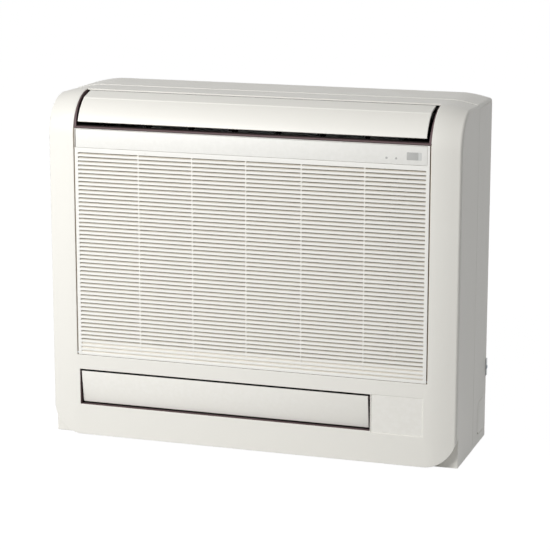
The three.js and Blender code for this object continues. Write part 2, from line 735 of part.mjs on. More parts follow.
function upperDuct() {
  const down = (points) => points.map(([y, z]) => [y, z - DUCT_WALL]).reverse();
  const floor = alongX([...DUCT_FLOOR, ...down(DUCT_FLOOR)], -DUCT_OUT, DUCT_OUT);
  const lip = box(-OPENING + FIT, OPENING - FIT, FRONT + 1.5, LIP_BACK, lipZ - DUCT_WALL, lipZ);
  const curve = (r) => arc(CASING_BACK - 5 - 60, ductTop - DUCT_WALL - 60, r, 90, 0, 6);
  const low = HOUSING.z1 + 4;
  const roofLine = [[ROOF_START, ductTop - DUCT_WALL], ...curve(60)];
  const roofOuter = [...curve(60 + DUCT_WALL)].reverse();
  const roof = alongX(
    [
      ...roofLine,
      [CASING_BACK - 5, low],
      [CASING_BACK - 5 + DUCT_WALL, low],
      ...roofOuter,
      [ROOF_START, ductTop],
    ],
    -DUCT_OUT,
    DUCT_OUT,
  );
  // end walls fill the outline between floor and roof, up to the casing's skin
  const endOutline = [
    ...DUCT_FLOOR.map(([y, z]) => [y, z - DUCT_WALL]),
    [chamberTopFront, low],
    [CASING_BACK - 5 + DUCT_WALL, low],
    ...roofOuter,
    [ROOF_START, ductTop],
    ...arc(ARC.y, ARC.z, TOP_RADIUS - WALL - ROOF_GAP, 94, 166, 6),
  ];
  const end = (side) => {
    const a = side * DUCT_IN;
    const b = side * DUCT_OUT;
    return alongX(endOutline, Math.min(a, b), Math.max(a, b));
  };
  // shelf over the electrical box, where no air comes from below
  const shelf = box(HOUSING.x1 + 6, DUCT_OUT, chamberTopFront - 2, CASING_BACK - 4, low, low + DUCT_WALL);
  const backWall = box(
    HOUSING.x1 + 6,
    DUCT_OUT,
    chamberTopFront - DUCT_WALL,
    chamberTopFront,
    low,
    DUCT_FLOOR[DUCT_FLOOR.length - 1][1] - EPS,
  );
  const whole = join(floor, lip, roof, end(-1), end(1), shelf, backWall);
  const holes = Array.from({ length: VANES }, (_, i) =>
    rodZ(VANE_PIN + 0.2, lipZ - 25, lipZ + 1, vaneX(i), VANE_AXIS_Y),
  );
  return cut(
    whole,
    ...holes,
    rodX(FLAP_PIN + FIT, DUCT_IN - 1, DUCT_OUT + 1, FLAP_AXIS.y, FLAP_AXIS.z, 16),
    rodX(FLAP_PIN + FIT, -DUCT_OUT - 1, -DUCT_IN + 1, FLAP_AXIS.y, FLAP_AXIS.z, 16),
  );
}

function upperFlap() {
  const from = 180 - THREE.MathUtils.radToDeg(Math.asin((FLAP_LOW_Z - ARC.z) / TOP_RADIUS));
  const backY = OPENING_END - FLAP_BACK_GAP;
  const to = THREE.MathUtils.radToDeg(Math.acos((backY - ARC.y) / TOP_RADIUS));
  const outer = arc(ARC.y, ARC.z, TOP_RADIUS, from, to, 14);
  const innerSide = arc(ARC.y, ARC.z, TOP_RADIUS - FLAP_THICK, to, from, 14);
  const panel = alongX([...outer, ...innerSide], -FLAP_HALF, FLAP_HALF);
  const armOutline = [
    ...arc(ARC.y, ARC.z, TOP_RADIUS - FLAP_THICK + 1, 128, 102, 4),
    ...arc(FLAP_AXIS.y, FLAP_AXIS.z, FLAP_BOSS, 20, -160, 8),
  ];
  const arm = (side) => {
    const a = side * FLAP_HALF;
    const b = side * (FLAP_HALF - 4);
    return alongX(armOutline, Math.min(a, b), Math.max(a, b));
  };
  const pin = rodX(FLAP_PIN, -DUCT_OUT - 1, -FLAP_HALF + 1, FLAP_AXIS.y, FLAP_AXIS.z);
  const drive = rodX(FLAP_PIN, FLAP_HALF - 1, DUCT_OUT + MOTOR_BORE, FLAP_AXIS.y, FLAP_AXIS.z);
  return join(panel, arm(-1), arm(1), pin, drive);
}

// Small stepping motor beside a duct wall; its drive bore lies off the body's centre.
function steppingMotor(x0, length, radius, axis, centre, bore) {
  const body = join(
    rodX(radius, x0, x0 + length, centre.y, centre.z, 16),
    rodX(bore + MOTOR_NOSE, x0, x0 + length, axis.y, axis.z, 12),
  );
  return cut(body, rodX(bore + FIT, x0 - 1, x0 + MOTOR_BORE, axis.y, axis.z));
}

function guideVane() {
  const low = floorAt(VANE_AXIS_Y);
  const plate = alongX(
    [
      [VANE_AXIS_Y - VANE_HALF, lipZ + 3],
      [VANE_AXIS_Y - 8, lipZ + 3],
      [VANE_AXIS_Y - 4, lipZ - 3],
      [VANE_AXIS_Y + VANE_HALF, lipZ - 4.5],
      [VANE_AXIS_Y + VANE_HALF, VANE_TOP],
      [VANE_AXIS_Y - 12, VANE_TOP],
      [VANE_AXIS_Y - VANE_HALF, VANE_TOP - 8],
    ],
    -VANE_THICK / 2,
    VANE_THICK / 2,
  );
  const pivot = rodZ(VANE_PIN, low - DUCT_WALL - 1, lipZ + 6, 0, VANE_AXIS_Y, 8);
  const crank = rodZ(1.2, tieBarZ, lipZ, 0, VANE_AXIS_Y + VANE_CRANK, 6);
  return join(plate, pivot, crank);
}

const tieBarZ = floorAt(VANE_AXIS_Y + VANE_CRANK - 5.5) + 0.6;
const TIE_THICK = 2;

function tieBar() {
  const y = VANE_AXIS_Y + VANE_CRANK;
  const half = vaneX(VANES - 1) + 8;
  const bar = box(-half, half, y - 5.5, y + 3.5, tieBarZ, tieBarZ + TIE_THICK);
  const slots = Array.from({ length: VANES }, (_, i) =>
    box(vaneX(i) - 1.8, vaneX(i) + 1.8, y - 3.6, y + 1.6, tieBarZ - 1, tieBarZ + TIE_THICK + 1),
  );
  return cut(bar, ...slots);
}

const outlet = group();
place("upper_duct", upperDuct(), DARK, outlet);
place("upper_flap", upperFlap(), CREAM, outlet);
place(
  "flap_motor",
  steppingMotor(
    DUCT_OUT + FIT,
    18,
    13,
    FLAP_AXIS,
    { y: FLAP_AXIS.y + 2, z: FLAP_AXIS.z - 9 },
    FLAP_PIN,
  ),
  STEEL,
  outlet,
);
const vane = guideVane();
for (let i = 0; i < VANES; i++) {
  place("guide_vane_" + (i + 1), vane, DARK, outlet, [vaneX(i), 0, 0]);
}
place("vane_tie_bar", tieBar(), DARK, outlet);

// ---- lower outlet: liner and shutter ------------------------------------------------------------

const SHUTTER_SWEEP = 4; // the shutter's upper edge rises this far above the outlet as it turns
const lowDuct = { x0: OUTLET.x0 - 0.5, x1: OUTLET.x1 + 0.3, front: INNER_FRONT + FIT };

function lowerDuct() {
  const x0 = lowDuct.x0 - DUCT_WALL;
  const x1 = lowDuct.x1 + 1;
  const roof = OUTLET.z1 + SHUTTER_SWEEP + DUCT_WALL;
  const floorZ = OUTLET.z0 - 0.3;
  const backY = CASING_BACK - 5;
  const r = 50;
  const joinZ = HOUSING.z0 - FIT;
  const floorLine = [
    [lowDuct.front, floorZ],
    ...arc(backY - r, floorZ + r, r, 270, 360, 6),
    [backY, joinZ],
  ];
  const outer = [
    [backY + DUCT_WALL, joinZ],
    ...arc(backY - r, floorZ + r, r + DUCT_WALL, 360, 270, 6),
    [lowDuct.front, floorZ - DUCT_WALL],
  ];
  const floor = alongX([...floorLine, ...outer], x0, x1);
  const mouthBack = MOUTH_Y + GUIDE_WALL;
  const top = alongX(
    [
      [lowDuct.front, roof],
      [mouthBack - DUCT_WALL, roof],
      [mouthBack - DUCT_WALL, joinZ],
      [mouthBack, joinZ],
      [mouthBack, roof - DUCT_WALL],
      [lowDuct.front, roof - DUCT_WALL],
    ],
    x0,
    x1,
  );
  const endOutline = [
    [lowDuct.front, floorZ - DUCT_WALL],
    ...arc(backY - r, floorZ + r, r + DUCT_WALL, 270, 360, 6),
    [backY + DUCT_WALL, joinZ],
    [mouthBack - DUCT_WALL, joinZ],
    [mouthBack - DUCT_WALL, roof],
    [lowDuct.front, roof],
  ];
  const left = alongX(endOutline, x0, lowDuct.x0);
  const right = alongX(endOutline, lowDuct.x1, x1);
  const pinHole = (a, b) => rodX(SHUTTER_PIN + FIT, a, b, SHUTTER_AXIS.y, SHUTTER_AXIS.z);
  return cut(join(floor, top, left, right), pinHole(x0 - 1, lowDuct.x0 + 1), pinHole(lowDuct.x1 - 1, x1 + 1));
}

function lowerShutter() {
  const x0 = OUTLET.x0 + SHUTTER_GAP;
  const x1 = OUTLET.x1 - SHUTTER_GAP;
  const z0 = OUTLET.z0 + SHUTTER_GAP;
  const z1 = OUTLET.z1 - SHUTTER_GAP;
  const y0 = FRONT + 1;
  const panel = alongX(
    [
      [y0, z1],
      [y0 + SHUTTER_LEAN, z0],
      [y0 + SHUTTER_LEAN + SHUTTER_THICK, z0],
      [y0 + SHUTTER_THICK, z1],
    ],
    x0,
    x1,
  );
  const armOutline = [
    [y0 + SHUTTER_THICK - 0.8, z1 - 1],
    ...arc(SHUTTER_AXIS.y, SHUTTER_AXIS.z, 3.8, 70, -90, 6),
    [y0 + SHUTTER_THICK, z1 - 10],
  ];
  const arm = (x) => alongX(armOutline, x, x + 3);
  const pin = (a, b) => rodX(SHUTTER_PIN, a, b, SHUTTER_AXIS.y, SHUTTER_AXIS.z);
  const left = pin(lowDuct.x0 - DUCT_WALL - 1, x0 + 1);
  const drive = pin(x1 - 1, lowDuct.x1 + 1 + MOTOR_BORE);
  return join(panel, arm(x0), arm((x0 + x1) / 2), arm(x1 - 3), left, drive);
}

const low = group();
place("lower_duct", lowerDuct(), DARK, low);
place("lower_shutter", lowerShutter(), CREAM, low);
place(
  "shutter_motor",
  steppingMotor(
    lowDuct.x1 + 1 + FIT,
    14,
    9,
    SHUTTER_AXIS,
    { y: SHUTTER_AXIS.y + 6, z: SHUTTER_AXIS.z - 4 },
    SHUTTER_PIN,
  ),
  STEEL,
  low,
);

// ---- fan ----------------------------------------------------------------------------------------

function bellMouth() {
  const plate = box(HOUSING.x0, HOUSING.x1, MOUTH_Y, MOUTH_Y + GUIDE_WALL, HOUSING.z0, HOUSING.z1);
  const hole = rodY(MOUTH_RADIUS, MOUTH_Y - 1, MOUTH_Y + GUIDE_WALL + 1, FAN.x, FAN.z, FULL_TURN);
  const lip = turnedY(
    [
      [MOUTH_RADIUS - 2, MOUTH_Y + GUIDE_WALL + 3],
      [MOUTH_RADIUS, MOUTH_Y],
      [MOUTH_RADIUS + 6, MOUTH_Y],
      [MOUTH_RADIUS + 1, MOUTH_Y + GUIDE_WALL + 3],
      [MOUTH_RADIUS, MOUTH_Y + GUIDE_WALL + 6],
      [MOUTH_RADIUS - 2, MOUTH_Y + GUIDE_WALL + 6],
      [MOUTH_RADIUS - 2, MOUTH_Y + GUIDE_WALL + 3],
    ],
    FAN.x,
    FAN.z,
  );
  return join(cut(plate, hole), lip);
}

function turboFan() {
  const x = FAN.x;
  const z = FAN.z;
  const r = FAN.radius;
  const hub = turnedY(
    [
      [SHAFT_RADIUS + FIT, FAN_BACK],
      [SHAFT_RADIUS + FIT, FAN_BACK - 24],
      [14, FAN_BACK - 24],
      [60, FAN_BACK - 10],
      [92, FAN_BACK - 3],
      [r, FAN_BACK - 3],
      [r, FAN_BACK],
      [88, FAN_BACK],
      [56, FAN_BACK - 7],
      [14, FAN_BACK - 16],
      [12, FAN_BACK],
      [SHAFT_RADIUS + FIT, FAN_BACK],
    ],
    x,
    z,
  );
  const shroud = turnedY(
    [
      [MOUTH_RADIUS + 4, FAN_FRONT],
      [MOUTH_RADIUS + 7, FAN_FRONT],
      [MOUTH_RADIUS + 14, FAN_FRONT + 12],
      [r, FAN_FRONT + 18],
      [r, FAN_FRONT + 21],
      [MOUTH_RADIUS + 12, FAN_FRONT + 15],
      [MOUTH_RADIUS + 4, FAN_FRONT],
    ],
    x,
    z,
  );
  const blade = [];
  const thick = 2.4;
  const steps = 3;
  const from = 96;
  for (const side of [-1, 1]) {
    for (let j = 0; j <= steps; j++) {
      const t = (side < 0 ? j : steps - j) / steps;
      const radius = from + (r - 1 - from) * t;
      const sweep = -0.55 * t + (side * thick) / 2 / radius;
      blade.push([radius * Math.cos(sweep), radius * Math.sin(sweep)]);
    }
  }
  const turned = (points, angle) =>
    points.map(([a, b]) => [
      x + a * Math.cos(angle) - b * Math.sin(angle),
      z + a * Math.sin(angle) + b * Math.cos(angle),
    ]);
  const blades = Array.from({ length: BLADES }, (_, i) =>
    alongY(turned(blade, (i * 2 * Math.PI) / BLADES), FAN_FRONT + 8, FAN_BACK - 1),
  );
  // blades end under the sloping shroud
  const above = turnedY(
    [
      [90, FAN_FRONT - 1],
      [MOUTH_RADIUS + 5.5, FAN_FRONT + 2],
      [MOUTH_RADIUS + 13, FAN_FRONT + 13.5],
      [r + 2, FAN_FRONT + 20],
      [r + 2, FAN_FRONT - 1],
      [90, FAN_FRONT - 1],
    ],
    x,
    z,
  );
  return join(hub, shroud, ...blades.map((b) => cut(b, above)));
}

function fanMotor() {
  const front = FAN_BACK + 8;
  const body = turnedY(
    [
      [0, front],
      [12, front],
      [12, front + 4],
      [MOTOR_RADIUS - 6, front + 4],
      [MOTOR_RADIUS, front + 10],
      [MOTOR_RADIUS, motorBack - 5],
      [MOTOR_RADIUS - 5, motorBack],
      [0, motorBack],
    ],
    FAN.x,
    FAN.z,
    24,
  );
  return cut(body, rodY(SHAFT_RADIUS + FIT, front - 1, shaftEnd + FIT, FAN.x, FAN.z));
}

function fanShaft() {
  return rodY(SHAFT_RADIUS, FAN_BACK - 34, shaftEnd, FAN.x, FAN.z);
}

function fanNut() {
  const y1 = FAN_BACK - 24 - FIT;
  const hexagon = rodY(9, y1 - 7, y1, FAN.x, FAN.z, 6);
  return cut(hexagon, rodY(SHAFT_RADIUS + FIT, y1 - 8, y1 + 1, FAN.x, FAN.z));
}

// Bracket between the chamber's rear wall and the motor's back.
function motorBracket() {
  const y0 = motorBack + FIT;
  const ring = rodY(MOTOR_RADIUS + 8, y0, y0 + SHEET, FAN.x, FAN.z, 32);
  const leg = (x, z) => box(x - 7, x + 7, y0, guideBack - GUIDE_WALL - FIT, z - 7, z + 7);
  const reach = MOTOR_RADIUS + 2;
  const diagonal = reach * Math.SQRT1_2;
  return join(
    ring,
    leg(FAN.x - diagonal, FAN.z - diagonal),
    leg(FAN.x + diagonal, FAN.z - diagonal),
    leg(FAN.x - diagonal, FAN.z + diagonal),
    leg(FAN.x + diagonal, FAN.z + diagonal),
  );
}

// Chamber round the fan: side walls and rear wall, open above and below for the two outlets.
function airGuide() {
  const y0 = MOUTH_Y + GUIDE_WALL + FIT;
  const outer = box(HOUSING.x0, HOUSING.x1, y0, guideBack, HOUSING.z0, HOUSING.z1);
  const hollow = box(
    HOUSING.x0 + GUIDE_WALL,
    HOUSING.x1 - GUIDE_WALL,
    y0 - 1,
    guideBack - GUIDE_WALL,
    HOUSING.z0 - 1,
    HOUSING.z1 + 1,
  );
  const pinch = 60;
  const cheek = (side) => {
    const wall = side < 0 ? HOUSING.x0 : HOUSING.x1;
    return alongY(
      [
        [wall, FAN.z - 150],
        [wall - side * pinch, FAN.z - 35],
        [wall - side * pinch, FAN.z + 35],
        [wall, FAN.z + 150],
      ],
      y0,
      guideBack,
    );
  };
  const cheekHollow = (side) => {
    const wall = side < 0 ? HOUSING.x0 : HOUSING.x1;
    return alongY(
      [
        [wall + side, FAN.z - 150 + GUIDE_WALL],
        [wall - side * (pinch - GUIDE_WALL), FAN.z - 34],
        [wall - side * (pinch - GUIDE_WALL), FAN.z + 34],
        [wall + side, FAN.z + 150 - GUIDE_WALL],
      ],
      y0 + GUIDE_WALL,
      guideBack - GUIDE_WALL,
    );
  };
  return cut(join(cut(outer, hollow), cheek(-1), cheek(1)), cheekHollow(-1), cheekHollow(1));
}

const fan = group();
place("bell_mouth", bellMouth(), GREY_PLASTIC, fan);
place("turbo_fan", turboFan(), GREY_PLASTIC, fan);
place("fan_nut", fanNut(), STEEL, fan);
place("fan_shaft", fanShaft(), STEEL, fan);
place("fan_motor", fanMotor(), WHITE_PLASTIC, fan);
place("motor_bracket", motorBracket(), STEEL, fan);
place("air_guide", airGuide(), WHITE_PLASTIC, fan);

// ---- heat exchanger and drain -------------------------------------------------------------------

const bendPitch = (COIL.z1 - COIL.z0) / (BENDS + 1);
const tubeY = [COIL.y0 + 9, COIL.y1 - 9];

function finBlock() {
  const x0 = COIL.x0 + COIL_PLATE + FIT;
  const x1 = COIL.x1 - COIL_PLATE - FIT;
  return box(x0, x1, COIL.y0, COIL.y1, COIL.z0, COIL.z1);
}

// End plate of the coil with the return bends brazed into it.
function coilEnd(side) {
  const x = side < 0 ? COIL.x0 : COIL.x1 - COIL_PLATE;
  const plate = box(x, x + COIL_PLATE, COIL.y0 - 3, COIL.y1 + 3, COIL.z0, COIL.z1);
  const bends = Array.from({ length: BENDS }, (_, i) => {
    const z = COIL.z0 + bendPitch * (i + 1);
    const g = new THREE.TorusGeometry((tubeY[1] - tubeY[0]) / 2, TUBE_RADIUS, 6, 12);
    g.translate(x + COIL_PLATE / 2, (tubeY[0] + tubeY[1]) / 2, z);
    const whole = solid(g);
    const far = x + COIL_PLATE / 2;
    const keep = side < 0 ? box(far - 40, far, COIL.y0, COIL.y1, z - 10, z + 10) : box(far, far + 40, COIL.y0, COIL.y1, z - 10, z + 10);
    return whole.intersect(keep);
  });
  return join(plate, ...bends);
}

const drain = { y0: COIL.y0 - 9, y1: MOUTH_Y - FIT, z0: 128, z1: 154 };

const SPOUT_RADIUS = 6.5;
const spoutY = drain.y0 + 2 + SPOUT_RADIUS;
const spoutZ = drain.z0 + SPOUT_RADIUS;

function drainPan() {
  const outer = box(HOUSING.x0 - 3, HOUSING.x1 + 4, drain.y0, drain.y1, drain.z0, drain.z1);
  const hollow = box(
    HOUSING.x0 - 1,
    HOUSING.x1 + 2,
    drain.y0 + 2,
    drain.y1 - 2,
    drain.z0 + 2,
    drain.z1 + 1,
  );
  const post = (x) => box(x - 8, x + 8, COIL.y0 + 1, COIL.y1 - 1, drain.z0 + 1, COIL.z0 - FIT);
  const spout = rodX(SPOUT_RADIUS, HOUSING.x1 + 3, HOUSING.x1 + 34, spoutY, spoutZ, 12);
  const bore = rodX(SPOUT_RADIUS - 2, HOUSING.x1 + 1, HOUSING.x1 + 40, spoutY, spoutZ, 12);
  return cut(join(cut(outer, hollow), post(COIL.x0 + 20), post(COIL.x1 - 20), post(-40), spout), bore);
}

// Moulded frame before the coil that holds the filters and the push catches.
const INNER_FRAME = { x: HOUSING.x1 + 6, y0: FRONT + 11.5, y1: FRONT + 19.5, z0: drain.z1 + FIT, z1: HEIGHT - 70 };

function innerFrame() {
  const { x, y0, y1, z0, z1 } = INNER_FRAME;
  const half = OPENING - 4;
  const outer = box(-half, half, y0, y1, z0, z1);
  const filterSpace = box(FILTER.x0 - FIT, FILTER.x1 + FIT, y0 - 1, y1 + 1, FILTER.z0 + 6, FILTER.z1 - 6);
  const seat = box(FILTER.x0 - FIT, FILTER.x1 + FIT, y0 - 1, y0 + 4.6, FILTER.z0 - FIT, FILTER.z1 + FIT);
  const boxWindow = box(x + 6, half - 8, y0 - 1, y1 + 1, z0 + 8, z1 - 40);
  const bar = box(-2, 2, y0, y1, z0 + 1, z1 - 1);
  const side = (s) =>
    box(Math.min(s * half, s * (OPENING - FIT)), Math.max(s * half, s * (OPENING - FIT)), y0, y1, HEIGHT / 2 - 40, HEIGHT / 2);
  const hole = (lx) =>
    box(lx - LATCH.half - FIT, lx + LATCH.half + FIT, y0 - 1, y1 + 1, latchZ - 4 - FIT, latchZ + 4 + FIT);
  return cut(
    join(cut(outer, filterSpace, seat, boxWindow), bar, side(-1), side(1)),
    ...LATCH.x.map(hole),
  );
}

const FILTER = { x0: HOUSING.x0, x1: HOUSING.x1 - 2, z0: 162, z1: HEIGHT - 100 };
const FILTER_BAR = 6;

function filter(side) {
  const y0 = INNER_FRAME.y0 + 0.6;
  const y1 = y0 + 3.6;
  const x0 = side < 0 ? FILTER.x0 : 2 + FIT;
  const x1 = side < 0 ? -2 - FIT : FILTER.x1;
  const { z0, z1 } = FILTER;
  const outer = box(x0, x1, y0, y1, z0, z1);
  const hollow = box(x0 + FILTER_BAR, x1 - FILTER_BAR, y0 - 1, y1 + 1, z0 + FILTER_BAR, z1 - FILTER_BAR);
  const net = box(x0 + 3, x1 - 3, y0 + 1.6, y0 + 2.2, z0 + 3, z1 - 3);
  const up = [1, 2].map((i) => {
    const x = x0 + ((x1 - x0) * i) / 3;
    return box(x - 1.5, x + 1.5, y0 + 0.5, y1 - 0.5, z0 + 3, z1 - 3);
  });
  const across = [1, 2, 3].map((i) => {
    const z = z0 + ((z1 - z0) * i) / 4;
    return box(x0 + 3, x1 - 3, y0 + 0.5, y1 - 0.5, z - 1.5, z + 1.5);
  });
  return join(cut(outer, hollow), net, ...up, ...across);
}

// Push catch: plunger in the inner frame that pops the grille free when it is pressed.
function pushLatch(x) {
  const tip = GRILLE_BACK + 3 + FIT;
  return join(
    box(x - LATCH.half, x + LATCH.half, tip, INNER_FRAME.y1 + 6, latchZ - 4, latchZ + 4),
    rodY(2.2, INNER_FRAME.y1 + 5, INNER_FRAME.y1 + 12, x, latchZ),
  );
}

const coil = group();
place("fin_block", finBlock(), ALUMINIUM, coil);
place("coil_end_left", coilEnd(-1), COPPER, coil);
place("coil_end_right", coilEnd(1), COPPER, coil);
place("drain_pan", drainPan(), WHITE_PLASTIC, coil);
place("inner_frame", innerFrame(), WHITE_PLASTIC, coil);
place("filter_left", filter(-1), MESH_GREY, coil);
place("filter_right", filter(1), MESH_GREY, coil);
place("push_latch_left", pushLatch(LATCH.x[0]), WHITE_PLASTIC, coil);
place("push_latch_right", pushLatch(LATCH.x[1]), WHITE_PLASTIC, coil);

// refrigerant pipes from the coil's right end down to the flare nuts at the lower rear corner
const nuts = { x: SIDE - 60, gasZ: 66, liquidZ: 40, y: BACK - 42.5, length: 26 };
const downX = BOX.x0 - FIT - GAS_RADIUS - 2; // both pipes come down between coil and electrical box

const gasRoute = [
  [COIL.x1 + FIT, tubeY[1], COIL.z0 + 16],
  [COIL.x1 + 8, tubeY[1], COIL.z0 + 16],
  [downX - 12, tubeY[1] + 2, COIL.z0 + 16],
  [downX, tubeY[1] + 5, COIL.z0 + 2],
  [downX + 1, tubeY[1] + 8, 130],
  [downX + 6, tubeY[1] + 22, 92],
  [downX + 20, tubeY[1] + 50, nuts.gasZ + 6],
  [nuts.x - 6, nuts.y - 60, nuts.gasZ],
  [nuts.x, nuts.y - 30, nuts.gasZ],
  [nuts.x, nuts.y - FIT, nuts.gasZ],
];
const liquidRoute = [
  [COIL.x1 + FIT, tubeY[0], COIL.z0 + 16],
  [COIL.x1 + 8, tubeY[0], COIL.z0 + 16],
  [downX - 14, tubeY[0] + 1, COIL.z0 + 16],
  [downX - 4, tubeY[0] + 3, COIL.z0 + 2],
  [downX - 4, tubeY[0] + 5, 120],
  [downX - 2, tubeY[0] + 14, 84],
  [downX + 4, tubeY[0] + 50, nuts.liquidZ + 6],
  [nuts.x - 26, nuts.y - 50, nuts.liquidZ],
  [nuts.x - 20, nuts.y - 24, nuts.liquidZ],
  [nuts.x - 20, nuts.y - FIT, nuts.liquidZ],
];

function flareNut(x, z, radius) {
  return turnedY(
    [
      [radius + 0.2, nuts.y],
      [radius + 5, nuts.y],
      [radius + 5, nuts.y + nuts.length],
      [radius + 0.2, nuts.y + nuts.length],
      [radius + 0.2, nuts.y],
    ],
    x,
    z,
    6,
  );
}

const pipes = group();
place("gas_pipe", pipe(gasRoute, GAS_RADIUS, 26), COPPER, pipes);
place("liquid_pipe", pipe(liquidRoute, LIQUID_RADIUS, 26), COPPER, pipes);
place("gas_flare_nut", flareNut(nuts.x, nuts.gasZ, GAS_RADIUS), BRASS, pipes);
place("liquid_flare_nut", flareNut(nuts.x - 20, nuts.liquidZ, LIQUID_RADIUS), BRASS, pipes);

// ---- electrical box -----------------------------------------------------------------------------

const BOARD_Y = 0; // the posts of the control board reach this far forward

function electricalBox() {
  const { x0, x1, y0, y1, z0, z1 } = BOX;
  const hollow = box(x0 + SHEET, x1 - SHEET, y0 - 1, y1 - SHEET, z0 + SHEET, z1 - SHEET);
  const shell = cut(box(x0, x1, y0, y1, z0, z1), hollow);
  const post = (x, z) => box(x - 4, x + 4, BOARD_Y - FIT, y1 - 1, z - 4, z + 4);
  const flange = box(x1 - 1, INNER_SIDE - FIT, y0 + 20, y0 + 60, z0 + 60, z0 + 62);
  return join(
    shell,
    post(x0 + 14, z0 + 60),
    post(x1 - 14, z0 + 60),
    post(x0 + 14, z1 - 30),
    post(x1 - 14, z1 - 30),
    flange,
  );
}

function boxLid() {
  const { x0, x1, y0, z0, z1 } = BOX;
  const lid = box(x0, x1, y0 - FIT - SHEET, y0 - FIT, z0, z1);
  const lip = box(x0 + SHEET + FIT, x1 - SHEET - FIT, y0 - FIT - EPS, y0 + 5, z0 + SHEET + FIT, z1 - SHEET - FIT);
  const hollow = box(x0 + 4, x1 - 4, y0 - FIT, y0 + 6, z0 + 4, z1 - 4);
  return join(lid, cut(lip, hollow));
}

function controlBoard() {
  const { x0, x1, z0, z1 } = BOX;
  const y = BOARD_Y - FIT * 2 - SHEET;
  const board = box(x0 + 6, x1 - 6, y, y + SHEET, z0 + 50, z1 - 18);
  const part = (x, z, w, h, d) => box(x, x + w, y - d, y + EPS, z, z + h);
  return join(
    board,
    part(x0 + 14, z1 - 80, 34, 40, 26),
    part(x0 + 58, z1 - 70, 22, 22, 34),
    part(x0 + 16, z1 - 150, 28, 28, 18),
    part(x0 + 56, z1 - 160, 30, 46, 12),
    part(x0 + 20, z0 + 70, 60, 16, 14),
  );
}

function terminalBlock() {
  const { x0, z0 } = BOX;
  const base = box(x0 + 14, x0 + 84, BOX.y0 + 20, BOX.y0 + 46, z0 + SHEET + FIT, z0 + 22);
  const bays = [0, 1, 2, 3].map((i) =>
    box(x0 + 17 + i * 17, x0 + 31 + i * 17, BOX.y0 + 19, BOX.y0 + 40, z0 + 14, z0 + 23),
  );
  return cut(base, ...bays);
}

// Board behind the receiver window and the lenses, on a foot on the inner frame.
function displayBoard() {
  const y1 = INNER_FRAME.y0 - FIT;
  const z0 = LED_Z - 9;
  const board = box(LEDS[0] - 12, WINDOW.x + 22, y1 - SHEET, y1, z0, INNER_FRAME.z1);
  const receiver = box(WINDOW.x - 6, WINDOW.x + 6, y1 - SHEET - 1.5, y1 - 1, WINDOW.z - 5, WINDOW.z + 5);
  return join(board, receiver);
}

function roomSensor() {
  const y1 = INNER_FRAME.y0 - FIT;
  const x = (FILTER.x1 + INNER_FRAME.x + 6) / 2;
  const holder = box(x - 5, x + 5, y1 - 3.4, y1, FILTER.z1 - 20, FILTER.z1 - 8);
  return join(holder, rodZ(1.5, FILTER.z1 - 29, FILTER.z1 - 19, x, y1 - 1.8, 8));
}

const electrics = group();
place("electrical_box", electricalBox(), STEEL, electrics);
place("box_lid", boxLid(), STEEL, electrics);
place("control_board", controlBoard(), BOARD, electrics);
place("terminal_block", terminalBlock(), DARK, electrics);
place("display_board", displayBoard(), BOARD, electrics);
place("room_sensor", roomSensor(), DARK, electrics);

export default unit;
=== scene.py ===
"""Looks of a floor standing air conditioner's indoor unit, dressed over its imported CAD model.

Sizes are written in millimetres, and the mesh helpers turn them into metres. X runs to the right
seen from the front, Y to the back and Z up, from the middle of the footprint on the floor.
"""

from __future__ import annotations

import logging
import math
from dataclasses import dataclass, field
from enum import Enum
from itertools import pairwise, product
from typing import Callable, ClassVar, Iterable, Sequence, Union

import bmesh
import bpy
from bmesh.types import BMEdge, BMFace, BMVert
from bpy.types import Material, NodeOutputs, NodeSocket, NodeTree, Object
from mathutils import Matrix, Vector

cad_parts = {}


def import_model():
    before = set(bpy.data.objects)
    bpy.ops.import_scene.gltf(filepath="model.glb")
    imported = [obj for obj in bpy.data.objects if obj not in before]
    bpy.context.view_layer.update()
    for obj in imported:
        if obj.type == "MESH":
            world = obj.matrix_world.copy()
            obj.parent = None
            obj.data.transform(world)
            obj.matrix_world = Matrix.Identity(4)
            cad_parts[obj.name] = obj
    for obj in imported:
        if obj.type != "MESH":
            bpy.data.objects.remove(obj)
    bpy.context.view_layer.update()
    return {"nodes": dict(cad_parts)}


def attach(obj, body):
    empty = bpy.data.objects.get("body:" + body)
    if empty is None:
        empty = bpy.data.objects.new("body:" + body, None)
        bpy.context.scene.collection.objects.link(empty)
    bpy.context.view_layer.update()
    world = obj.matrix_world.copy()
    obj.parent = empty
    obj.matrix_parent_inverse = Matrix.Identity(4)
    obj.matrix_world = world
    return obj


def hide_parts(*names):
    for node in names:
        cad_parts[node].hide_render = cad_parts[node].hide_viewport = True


LOG = logging.getLogger("air_conditioner")
MM = 0.001
NEAR = 0.01
SIDES = (("left", -1), ("right", 1))

Span = tuple[float, float]
Colour = tuple[int, int, int]
Test = Callable[[Vector], bool]
Value = Union[NodeSocket, float, Sequence[float]]


class Axis(Enum):
    """Directions that a bar, cut or outline can take."""

    X = 0
    Y = 1
    Z = 2


class Relief(Enum):
    """Surface patterns of a sheet of metal."""

    SPANGLE = "spangle"
    DRAWN = "drawn"
    FINS = "fins"


class Slot(Enum):
    """Material slots of the record; the new pieces are given one but don't use it."""

    CASING = "casing_cream"
    PANEL = "panel_cream"
    DARK = "duct_dark"
    LENS = "lens_grey"
    SCREW = "screw_steel"


# ---- sizes that the sub-assemblies share ----


